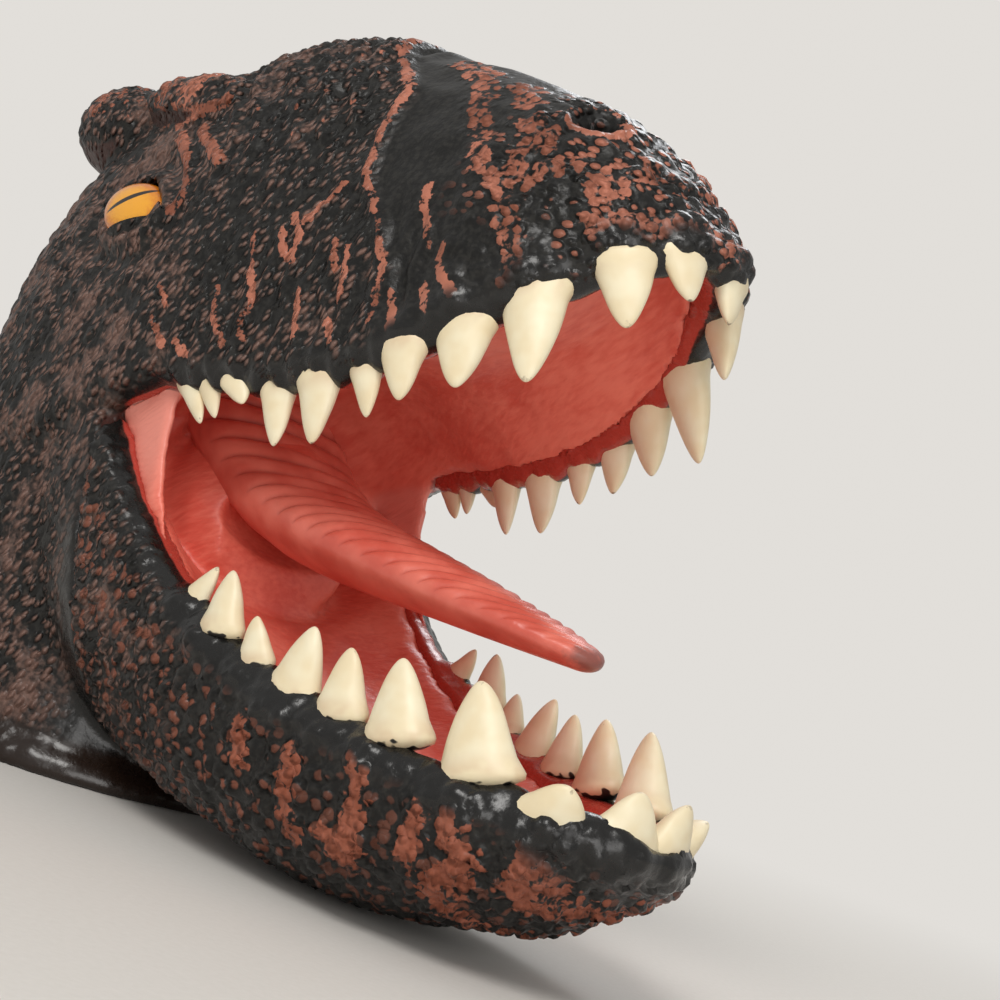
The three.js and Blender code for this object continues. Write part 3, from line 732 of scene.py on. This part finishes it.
def tongue_shape():
    """A ball whose rings are moved out along the spine, with ribs on top."""
    bm = bmesh.new()
    bmesh.ops.create_uvsphere(bm, u_segments=ROUND, v_segments=RINGS, radius=1)
    groove_shade = bm.verts.layers.float.new("groove_shade")
    lengths = np.concatenate([[0], np.cumsum(np.linalg.norm(np.diff(SPINE, axis=0), axis=1))])
    total = lengths[-1]

    def on_spine(reach):
        return np.array([np.interp(reach, lengths, column) for column in SPINE.T])

    for vert in bm.verts:
        share, turn = ball_place(vert)
        reach = share * total
        x, z = on_spine(reach)
        ahead, rise = (on_spine(min(reach + SLOPE_STEP, total))
                       - on_spine(max(reach - SLOPE_STEP, 0)))
        slope = math.hypot(ahead, rise)
        upright = (-rise / slope, ahead / slope)
        cap = end_cap(total - reach, TIP_LENGTH) * end_cap(reach, TAIL_LENGTH)
        wide = np.interp(reach, lengths, HALF_WIDTH) * cap
        deep = np.interp(reach, lengths, HALF_DEPTH) * cap
        across, height = math.cos(turn), math.sin(turn)
        ribbed = (max(0, height) ** 0.5 * min(1, reach / RIBS_START)
                  * min(1, (total - reach) / RIBS_END))
        bowed = reach + (BOW + BOW_GROWS * reach) * across * across
        wander = noise.noise(Vector((x / WANDER_SIZE, across * 1.2, 0.5))) * RIB_WANDER
        count = math.log(1 - SHORTER * (bowed + wander)) / (-SHORTER * FIRST_RIB)
        rib = abs(math.sin(count * math.pi)) ** RIB_SHARPNESS - RIB_MIDDLE
        flattened = math.copysign(abs(height) ** FLATNESS, height)
        side_share = TOP_SHARE if height > 0 else UNDER_SHARE
        lift = deep * flattened * side_share + RIB_HEIGHT * rib * ribbed
        vert.co = spot(x + upright[0] * lift, wide * across, z + upright[1] * lift)
        # 1 in the dips between the ribs, where the material paints shade.
        vert[groove_shade] = ramp(-rib, -0.15, 0.5) * ribbed
    return closed(bm)


tongue = piece_from("tongue_ribbed", tongue_shape())
keep_values(tongue.data, tip=ramp(points_of(tongue.data)[:, 0], 31, 37))
print("tongue faces:", len(tongue.data.polygons))

# %% [markdown]
# ## Teeth
# A ball is drawn out into a fang: wide at the root, blunt at the tip and flattened a little across
# the row. The root goes on into the gum, and noise dents every fang in its own way.

# %% Teeth
ROOT_IN_GUM = 2.4
TOOTH_ROUND, TOOTH_RINGS = 24, 30
SKIRT, SKIRT_LENGTH = 0.12, 2.5  # a tooth is this much wider near the gum
NARROWING, NARROWS_LATE, BLUNTNESS = 0.66, 1.15, 6
ROOT_CLOSES = 22  # how suddenly the hidden end closes
DENT, BEND = 0.06, 0.35
THICKNESS, THINNER_TIP = 0.62, 0.06  # across the row, as a share of the width
SEED_SPREAD = 9


def tooth(name, tip, root, width, before, after):
    """A fang from root to tip. before and after are the roots beside it, which give the row."""
    tip, root = Vector(tip), Vector(root)
    length = (tip - root).length
    outwards = (tip - root) / length
    row = Vector(after) - Vector(before)
    row = (row - outwards * row.dot(outwards)).normalized()
    across = outwards.cross(row)
    bm = bmesh.new()
    bmesh.ops.create_uvsphere(bm, u_segments=TOOTH_ROUND, v_segments=TOOTH_RINGS, radius=1)
    height = bm.verts.layers.float.new("height")
    seed = noise.noise(root) * SEED_SPREAD
    for vert in bm.verts:
        share, turn = ball_place(vert)
        reach = -ROOT_IN_GUM + (length + ROOT_IN_GUM) * math.sin(share * math.pi / 2)
        t = max(0, reach / length)
        taper = ((1 - NARROWING * t ** NARROWS_LATE) * math.sqrt(max(0, 1 - t ** BLUNTNESS))
                 * min(1, share * ROOT_CLOSES))
        dent = 1 + DENT * noise.noise(Vector((math.cos(turn), math.sin(turn), t * 2 + seed)))
        skirt = 1 + SKIRT * max(0, 1 - abs(reach) / SKIRT_LENGTH)
        wide = width / 2 * taper * dent * skirt
        thick = width / 2 * (THICKNESS - THINNER_TIP * t) * taper * dent
        bent = BEND * math.sin(t * 2 + seed) * t
        vert[height] = reach / length
        vert.co = spot(*(root + outwards * reach + row * (wide * math.cos(turn) + bent)
                         + across * (thick * math.sin(turn))))
    return piece_from(name, closed(bm))


def on_side(place, sign):
    """The place on the left for sign 1, its mirror image on the right for sign -1."""
    return (place[0], place[1] * sign, place[2])


SIDES = (("right", -1), ("left", 1))

teeth = []
for label, rows, body in (("upper", UPPER_TEETH, "head"), ("lower", LOWER_TEETH, "jaw")):
    for hand, sign in SIDES:
        for number, (tip, root, width) in enumerate(rows):
            before = on_side(rows[max(0, number - 1)][1], sign)
            if number < len(rows) - 1:
                after = on_side(rows[number + 1][1], sign)
            else:
                after = on_side(root, -sign)
            node = f"{label}_tooth_{hand}_{number + 1}"
            made = tooth(node + "_painted", on_side(tip, sign), on_side(root, sign), width,
                         before, after)
            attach(made, body)
            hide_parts(node)
            teeth.append(made)
print("teeth:", len(teeth))

# %% [markdown]
# ## Eyes
# An eye is a ball squeezed along the way it looks, sideways and a little up and forward. A second
# ball, larger and cut off along a slanting line, is the lower lid. The eye keeps its places on the
# ball, and the material draws the slit with them.

# %% Eyes
LOOKS_FORWARD, LOOKS_UP = math.radians(14), math.radians(10)
EYE_THICKNESS, LID_THICKNESS = 3.4, 3.6
LID_SIZE = 1.13  # how much larger than the eye the lid is
LID_CUT, LID_SLOPE = -0.58, 0.62  # the lid's upper edge on the unit ball


def ball():
    """A bmesh of the unit ball."""
    bm = bmesh.new()
    bmesh.ops.create_uvsphere(bm, u_segments=40, v_segments=24, radius=1)
    return bm


def set_in(bm, sign, scale, thickness):
    """Moves a ball to the eye of one side, squeezed along the way the eye looks."""
    look = Vector((math.sin(LOOKS_FORWARD), sign, math.sin(LOOKS_UP))).normalized()
    fore = (Vector((1, 0, 0)) - look * look.x).normalized()
    top = fore.cross(look) * sign
    centre = Vector(on_side(EYE, sign))
    for vert in bm.verts:
        u, v, w = vert.co * scale
        vert.co = spot(*(centre + fore * u * EYE_SIZE[0] + top * v * EYE_SIZE[1]
                         + look * w * thickness))
    bmesh.ops.recalc_face_normals(bm, faces=bm.faces)


eyes, lids = [], []
for hand, sign in SIDES:
    bm = ball()
    wide = bm.verts.layers.float.new("wide")
    tall = bm.verts.layers.float.new("tall")
    for vert in bm.verts:
        vert[wide], vert[tall] = vert.co.xy
    set_in(bm, sign, 1, EYE_THICKNESS)
    eye = piece_from(f"eye_{hand}_amber", bm)
    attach(eye, "head")
    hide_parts(f"eye_{hand}")
    eyes.append(eye)

    bm = ball()
    whole = bm.verts[:] + bm.edges[:] + bm.faces[:]
    cut = bmesh.ops.bisect_plane(bm, geom=whole, plane_co=(0, LID_CUT, 0),
                                 plane_no=(-LID_SLOPE, 1, 0), clear_outer=True)
    rim = [part for part in cut["geom_cut"] if isinstance(part, bmesh.types.BMEdge)]
    bmesh.ops.holes_fill(bm, edges=rim)
    set_in(bm, sign, LID_SIZE, LID_THICKNESS)
    lid = piece_from(f"eye_{hand}_lower_lid", bm)
    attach(lid, "head")
    lids.append(lid)
print("eyes and lids:", len(eyes) + len(lids))

# %% [markdown]
# ## What moves with what
# The head's skin rides on the head. The jaw's skin, the mouth and the tongue are only baked in
# place here; no bend is set up for them.

# %% Ride and blend
def bend(piece, direction, start, end):
    """Bakes the piece's place into its points. The places at start and end along direction are worked
    out but not used.
    """
    d = Vector((direction[0], 0, direction[1])).normalized()
    spot(*(d * start))
    spot(*(d * end))
    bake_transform(piece)


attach(head_skin, "head")
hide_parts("head_skin")
bend(jaw_skin, direction=(0.979, 0.206), start=-47.1, end=-26.7)
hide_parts("jaw_skin", "throat_fold")
bend(mouth, direction=(0.25, -0.968), start=-79.0, end=-47.0)
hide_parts("palate", "throat_lining", "mouth_floor", "corner_web_right", "corner_web_left")
bend(tongue, direction=(0.9, -0.436), start=-78.0, end=-56.0)
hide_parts("tongue")

# %% [markdown]
# ## Writing materials as sums
# A procedural material is a sum of masks. One small class wraps a socket, so that `1 - mask * 0.5`
# adds the nodes for it. Another holds a material and has a method for each pattern, sized in
# millimetres.

# %% A small kit for materials
def new_node(tree, kind, inputs=None, **settings):
    """Adds a node. An input is a number, a colour, a Value or the output of another node."""
    node = tree.nodes.new(kind)
    for name, value in settings.items():
        setattr(node, name, value)
    for key, value in (inputs or {}).items():
        source = getattr(value, "socket", value)
        if isinstance(source, bpy.types.NodeSocket):
            tree.links.new(source, node.inputs[key])
        else:
            node.inputs[key].default_value = source
    return node


class Value:
    """The output of a node. A sum or product of values adds the nodes that work it out."""

    def __init__(self, socket):
        self.socket = socket

    def then(self, kind, inputs, **settings):
        """The first output of a new node of the same material."""
        return Value(new_node(self.socket.id_data, kind, inputs, **settings).outputs[0])

    def math(self, operation, first, second):
        return self.then("ShaderNodeMath", {0: first, 1: second}, operation=operation)

    def __add__(self, other):
        return self.math("ADD", self, other)

    def __mul__(self, other):
        return self.math("MULTIPLY", self, other)

    def __sub__(self, other):
        return self.math("SUBTRACT", self, other)

    def __rsub__(self, other):
        return self.math("SUBTRACT", other, self)

    __radd__, __rmul__ = __add__, __mul__

    def larger(self, other):
        return self.math("MAXIMUM", self, other)

    def root(self):
        return self.math("POWER", self, 0.5)

    def between(self, low, high):
        """0 below low, 1 above high, smooth between them."""
        return self.then("ShaderNodeMapRange", {"Value": self, "From Min": low, "From Max": high},
                         interpolation_type="SMOOTHSTEP")


class Finish:
    """One material with the nodes that it is made of."""

    def __init__(self, name, **sockets):
        self.material = bpy.data.materials.new(name)
        self.material.use_nodes = True
        self.tree = self.material.node_tree
        self.shader = self.tree.nodes["Principled BSDF"]
        for socket, value in sockets.items():
            self.shader.inputs[socket.replace("_", " ")].default_value = value

    def value(self, output, kind, inputs=None, **settings):
        """One output of a new node."""
        return Value(new_node(self.tree, kind, inputs, **settings).outputs[output])

    def place(self, stretch=(1, 1, 1), turn=(0, 0, 0)):
        """Where a point of the surface is, for a pattern that is turned and then stretched."""
        point = self.value("Object", "ShaderNodeTexCoord")
        return self.value(0, "ShaderNodeMapping", {"Vector": point, "Scale": stretch,
                                                   "Rotation": turn}, vector_type="TEXTURE")

    def noise(self, size, detail=2, place=None):
        """Cloudy noise whose lumps are size millimetres across."""
        return self.value("Fac", "ShaderNodeTexNoise", {"Vector": place or self.place(),
                                                        "Scale": 1 / (size * MM), "Detail": detail})

    def dots(self, size, place=None, start=0.1, end=0.6):
        """1 on top of each cell, falling to 0 at its edge."""
        from_top = self.value("Distance", "ShaderNodeTexVoronoi",
                              {"Vector": place or self.place(), "Scale": 1 / (size * MM)})
        return 1 - from_top.between(start, end)

    def read(self, name):
        """A number that was kept for every point."""
        return self.value("Fac", "ShaderNodeAttribute", attribute_name=name)

    def mix(self, factor, first, second):
        """The first colour where the factor is 0, the second where it is 1."""
        return self.value(2, "ShaderNodeMix", {0: factor, 6: first, 7: second}, data_type="RGBA")

    def layers(self, colour, *coats):
        """A colour under coats of others. A coat is how much it covers, and its colour."""
        for cover, over in coats:
            colour = self.mix(cover, colour, over)
        return colour

    def bump(self, height, depth):
        """Relief of depth millimetres where height goes from 0 to 1."""
        self.set(Normal=self.value(0, "ShaderNodeBump", {"Height": height, "Distance": depth * MM}))

    def set(self, **links):
        """Links values to sockets of the shader, by the sockets' names."""
        for socket, value in links.items():
            self.tree.links.new(value.socket, self.shader.inputs[socket.replace("_", " ")])


def paint(pieces, finish):
    """Gives the pieces one material and no other."""
    for piece in pieces:
        piece.data.materials.clear()
        piece.data.materials.append(finish.material)


# %% [markdown]
# ## Painted skin
# Black paint over terracotta vinyl. Fine slanted scales cover cheeks and neck, rounder pebbles the
# jaw and the snout. The paint is wiped off the tops, so the same dots drive relief and colour. The
# pale rub on the scales is partly wiped paint and partly a painted sheen on their tops.

# %% Patterns of the skin
skin = Finish("painted vinyl skin", Roughness=0.4, Coat_Roughness=0.22, Specular_IOR_Level=0.3)
slanted = skin.place(stretch=(0.85, 1, 1.75), turn=(0, math.radians(30), 0))
drawn_out = skin.place(stretch=(1.55, 1, 0.9))
scale_top = skin.dots(1.5, slanted, end=0.62)
bead_top = skin.dots(2.1)
pebble_top = skin.dots(2.6)
stone_top = skin.dots(2.0, drawn_out)
patchy = skin.noise(9, 3) - 0.5
crumbs = skin.noise(1.1, 3) - 0.5
worn_zone, line_zone, rub_zone = skin.read("worn"), skin.read("line"), skin.read("rub")
fine_zone, pebble_zone, stone_zone = skin.read("fine"), skin.read("pebble"), skin.read("stones")
lip_zone, gum_zone, rim_zone = skin.read("lip"), skin.read("gum"), skin.read("rim")

# %% [markdown]
# Each kind of wear is a sum of its zone, its dots and noise, and so is the pale rub on the scales,
# which is partly wiped paint and partly painted sheen. `between` cuts the sum off, and the noise
# frays its edges. The colours are then laid over each other.

# %% Skin finish
TERRACOTTA = (0.46, 0.165, 0.105, 1)
DARK_TERRACOTTA = (0.24, 0.078, 0.045, 1)
JAW_TERRACOTTA = (0.27, 0.072, 0.036, 1)
# Pale rub on the scale tops: partly wiped paint, partly a painted sheen.
PALE_RUB_AND_SHEEN = (0.29, 0.165, 0.13, 1)
BLACK = (0.0065, 0.0062, 0.0058, 1)
SOOT = (0.019, 0.018, 0.016, 1)
GUM_RED = (0.42, 0.050, 0.034, 1)
NECK_BROWN = (0.016, 0.0085, 0.0055, 1)
INNER_BROWN = (0.05, 0.022, 0.018, 1)

worn = (worn_zone * (0.5 + 0.75 * bead_top) + crumbs * 0.8).between(0.48, 0.62)
line = (line_zone + crumbs * 1.3 + patchy * 1.1).between(0.64, 0.78)
# The pale rub on the scales, partly wiped paint and partly a painted sheen on their tops.
rubbed = fine_zone * (scale_top * 0.7 + rub_zone * 0.4 + crumbs * 0.8
                      + patchy * 1.7).between(0.36, 0.92)
stoned = stone_zone * (stone_top + crumbs * 0.6 + patchy * 1.8).between(0.52, 0.72)
pebbled = pebble_zone * (pebble_top + crumbs * 0.5 + patchy * 1.4).between(0.32, 0.62)
inside = (skin.read("outward") - gum_zone * 1.2).between(0.1, 0.5)

earth = skin.layers(DARK_TERRACOTTA, (patchy.between(-0.14, 0.14), TERRACOTTA),
                    (skin.read("deep") * 0.7, JAW_TERRACOTTA))
colour = skin.layers(
    BLACK,
    (crumbs.between(-0.1, 0.2), SOOT),
    (rubbed * 0.6, PALE_RUB_AND_SHEEN),
    (pebbled * 0.75, DARK_TERRACOTTA),
    (stoned * 0.85, earth),
    (worn.larger(line) * 0.94, earth),
    # Black lips, and black pits where the black is partly the paint and partly painted shade.
    (lip_zone.between(0.5, 0.95).larger(skin.read("pit")), BLACK),
    (rim_zone, NECK_BROWN))
inner = skin.mix(gum_zone.between(0.3, 0.6), INNER_BROWN, GUM_RED)
skin.set(Base_Color=skin.mix(inside, inner, colour),
         Coat_Weight=0.4 * lip_zone + 0.15 * rim_zone,
         Roughness=0.37 + 0.26 * worn + 0.14 * crumbs - 0.1 * lip_zone)
skin.bump(scale_top * fine_zone * 0.8 + pebble_top * pebble_zone * 0.8
          + stone_top * stone_zone * 0.9 + worn_zone * bead_top * 0.7 + crumbs * 0.14, 1.0)
paint([head_skin, jaw_skin] + lids, skin)
for lid in lids:
    keep_values(lid.data, outward=1, fine=1)
print("nodes in the skin's material:", len(skin.tree.nodes))

# %% [markdown]
# ## Red mouth
# The lining is coral red with a soft sheen, brushed on in slanting strokes, and its corner webs are
# a lighter pink, which is painted light. The tongue is a little glossier, with painted shade in the
# grooves, and its tip is darker and greyer.

# %% Mouth and tongue finish
CORAL, LIGHT_CORAL = (0.70, 0.118, 0.080, 1), (0.84, 0.215, 0.150, 1)
# Lighter pink on the cheek webs: painted light.
PAINTED_LIGHT_WEB_PINK = (0.80, 0.27, 0.21, 1)
LINING_EDGE = (0.14, 0.022, 0.016, 1)
TONGUE_RED, LIGHT_TONGUE_RED = (0.60, 0.105, 0.072, 1), (0.74, 0.180, 0.128, 1)
# Painted shade in the dips between the tongue's ribs.
GROOVE_SHADE_RED = (0.25, 0.024, 0.017, 1)
TIP_GREY = (0.16, 0.06, 0.05, 1)

mouth_red = Finish("mouth red", Roughness=0.34)
strokes = mouth_red.place(stretch=(3.2, 1.2, 0.6), turn=(0, math.radians(-35), 0))
brushed = mouth_red.noise(1.3, 3, strokes)
cloud = mouth_red.noise(14, 2)
speck = mouth_red.noise(1.2, 3) - 0.5
edge = (mouth_red.read("edge") + speck * 0.8).between(0.4, 0.9)
colour = mouth_red.layers(
    CORAL,
    ((cloud * 0.6 + brushed * 0.4).between(0.35, 0.65), LIGHT_CORAL),
    (mouth_red.read("corner"), PAINTED_LIGHT_WEB_PINK),
    (edge * 0.7, LINING_EDGE))
mouth_red.set(Base_Color=colour, Roughness=0.30 + 0.16 * brushed)
mouth_red.bump(brushed * 0.6 + cloud * 0.4, 0.3)
paint([mouth], mouth_red)

tongue_red = Finish("tongue red", Roughness=0.3)
cloud = tongue_red.noise(9, 3)
speck = tongue_red.noise(1.6, 3) - 0.5
greyed = (tongue_red.read("tip") + speck * 0.8).between(0.5, 1.0)
colour = tongue_red.layers(
    TONGUE_RED,
    (cloud.between(0.35, 0.65), LIGHT_TONGUE_RED),
    (tongue_red.read("groove_shade") * 0.85, GROOVE_SHADE_RED),
    (greyed * 0.8, TIP_GREY))
tongue_red.set(Base_Color=colour, Roughness=0.27 + 0.16 * cloud)
tongue_red.bump(cloud * 0.4 + speck * 0.6, 0.12)
paint([tongue], tongue_red)

# %% [markdown]
# ## Ivory teeth
# The height that was kept on each tooth is 0 at the gum and 1 at the tip. The ivory stops in a ragged
# edge just below the gum and leaves a black foot. It is stained low down and scuffed at the tip.

# %% Teeth finish
CREAM, PALE_CREAM = (0.80, 0.68, 0.45, 1), (0.85, 0.77, 0.56, 1)
STAIN_BROWN, SCUFF_BROWN = (0.62, 0.42, 0.24, 1), (0.12, 0.07, 0.045, 1)
FOOT_BLACK = (0.012, 0.010, 0.009, 1)

ivory = Finish("ivory paint", Roughness=0.34)
height = ivory.read("height")
speck = ivory.noise(1.6, 3)
cloud = ivory.noise(5, 2)
stain = (1 - height.between(0.0, 0.3)) * cloud.between(0.4, 0.6)
scuff = (height + (speck - 0.5) * 0.5).between(0.99, 1.06)
painted = (height + (ivory.noise(2.2, 1) - 0.5) * 0.42).between(-0.16, -0.13)
colour = ivory.layers(CREAM, (cloud.between(0.3, 0.7), PALE_CREAM), (stain * 0.5, STAIN_BROWN),
                      (scuff * 0.8, SCUFF_BROWN))
ivory.set(Base_Color=ivory.mix(painted, FOOT_BLACK, colour), Roughness=0.32 + 0.2 * speck)
ivory.bump(cloud, 0.15)
paint(teeth, ivory)

# %% [markdown]
# ## Amber eyes
# Clear-coated amber, darker towards the rim. The slit is a long thin ellipse that leans.

# %% Eye finish
AMBER, BURNT_AMBER = (0.80, 0.36, 0.025, 1), (0.62, 0.17, 0.012, 1)
SLIT_BLACK = (0.012, 0.008, 0.006, 1)
SLIT_LEAN, SLIT_ASIDE, SLIT_UP = 0.95, 0.25, 0.2
ACROSS_SLIT, ALONG_SLIT = 30, 0.9

amber = Finish("amber eye", Roughness=0.18, Coat_Weight=0.6, Coat_Roughness=0.06)
across, upward = amber.read("wide"), amber.read("tall")
from_middle = (across * across + upward * upward).root()
streaks = amber.noise(0.7, 3) - 0.5
iris = amber.mix((from_middle + streaks * 0.5).between(0.45, 0.95), AMBER, BURNT_AMBER)
slant = across - SLIT_LEAN * upward + SLIT_ASIDE
raised = upward - SLIT_UP
slit = (slant * slant * ACROSS_SLIT + raised * raised * ALONG_SLIT).root()
amber.set(Base_Color=amber.mix(slit.between(0.5, 0.62), SLIT_BLACK, iris))
paint(eyes, amber)
print("materials:", len(bpy.data.materials))

# %% [markdown]
# ## Floor and sky
# A pale cloth lies under the puppet. Further out the camera sees it fade into the same plain colour
# as the sky, so no horizon shows. The light on the puppet comes from the real cloth and from a
# dimmer sky, which fills the shadows.

# %% Floor and sky
PALE, THREAD = (0.76, 0.735, 0.70, 1), (0.70, 0.675, 0.635, 1)
SKY_LIGHT, SKY_STRENGTH = (1, 0.985, 0.96, 1), 0.5
FADE = (0.14, 0.42)  # metres from the middle of the frame

bm = bmesh.new()
bmesh.ops.create_grid(bm, x_segments=2, y_segments=2, size=3)
floor = piece_from("floor", bm)
cloth = Finish("pale cloth", Roughness=0.9)
cloth.set(Base_Color=cloth.mix(cloth.noise(1.2, 2), THREAD, PALE))
from_middle = cloth.value("Value", "ShaderNodeVectorMath", {0: cloth.place()}, operation="LENGTH")
camera_ray = cloth.value("Is Camera Ray", "ShaderNodeLightPath")
backdrop = cloth.value(0, "ShaderNodeEmission", {"Color": PALE})
fade = cloth.value(0, "ShaderNodeMixShader", {0: from_middle.between(*FADE) * camera_ray,
                                              1: cloth.shader.outputs[0], 2: backdrop})
cloth.tree.links.new(fade.socket, cloth.tree.nodes["Material Output"].inputs["Surface"])
paint([floor], cloth)

world = bpy.data.worlds.new("studio")
bpy.context.scene.world = world
world.use_nodes = True
sky = world.node_tree
light_sky = sky.nodes["Background"]
light_sky.inputs["Color"].default_value = SKY_LIGHT
light_sky.inputs["Strength"].default_value = SKY_STRENGTH
seen_sky = new_node(sky, "ShaderNodeBackground", {"Color": PALE})
path = new_node(sky, "ShaderNodeLightPath")
both_skies = new_node(sky, "ShaderNodeMixShader", {
    0: path.outputs["Is Camera Ray"], 1: light_sky.outputs[0], 2: seen_sky.outputs[0]})
sky.links.new(both_skies.outputs[0], sky.nodes["World Output"].inputs["Surface"])

# %% [markdown]
# ## Lamps
# The main lamp is above and in front. A low one in front of the snout reaches into the mouth, and
# one behind draws the outline of the head.

# %% Lamps
def lamp(name, place, aim, size, power, colour):
    """A square lamp that looks at a point, in metres and watts."""
    data = bpy.data.lights.new(name, "AREA")
    data.size, data.energy, data.color = size, power, colour
    light = bpy.data.objects.new(name, data)
    bpy.context.scene.collection.objects.link(light)
    light.location = place
    light.rotation_euler = (Vector(aim) - Vector(place)).to_track_quat("-Z", "Y").to_euler()


lamp("window", place=(0.35, -0.62, 0.72), aim=(0, 0, 0.07), size=0.35, power=4.3,
     colour=(1, 0.98, 0.95))
lamp("front", place=(0.95, -0.5, 0.22), aim=(0, 0, 0.06), size=0.5, power=2.6,
     colour=(1, 0.98, 0.96))
lamp("back", place=(-0.35, 0.5, 0.7), aim=(0, 0, 0.08), size=0.3, power=1.8,
     colour=(0.95, 0.97, 1))

# %% [markdown]
# ## Camera
# The camera stands low at the puppet's right, as in the photograph, and is rolled a little.

# %% Camera
CAMERA_PLACE = Vector((223.6, -196.92, 46.27))
CAMERA_RIGHT = Vector((0.65571, 0.69041, 0.30557))
CAMERA_UP = Vector((-0.15051, -0.27707, 0.94899))
CAMERA_BACK = Vector((0.73986, -0.66825, -0.07776))
LENS, FILM = 64.8, 36  # millimetres
NEAREST = 0.01  # metres, so that nothing close to the camera is cut away

camera_data = bpy.data.cameras.new("camera")
camera_data.lens, camera_data.sensor_width = LENS, FILM
camera_data.clip_start = NEAREST
camera = bpy.data.objects.new("camera", camera_data)
bpy.context.scene.collection.objects.link(camera)
turned = Matrix((CAMERA_RIGHT, CAMERA_UP, CAMERA_BACK)).transposed().to_4x4()
camera.matrix_world = Matrix.Translation(spot(*CAMERA_PLACE)) @ turned
bpy.context.scene.camera = camera
bpy.context.scene.view_settings.view_transform = "Standard"
print("camera at", [round(value, 3) for value in camera.matrix_world.translation])
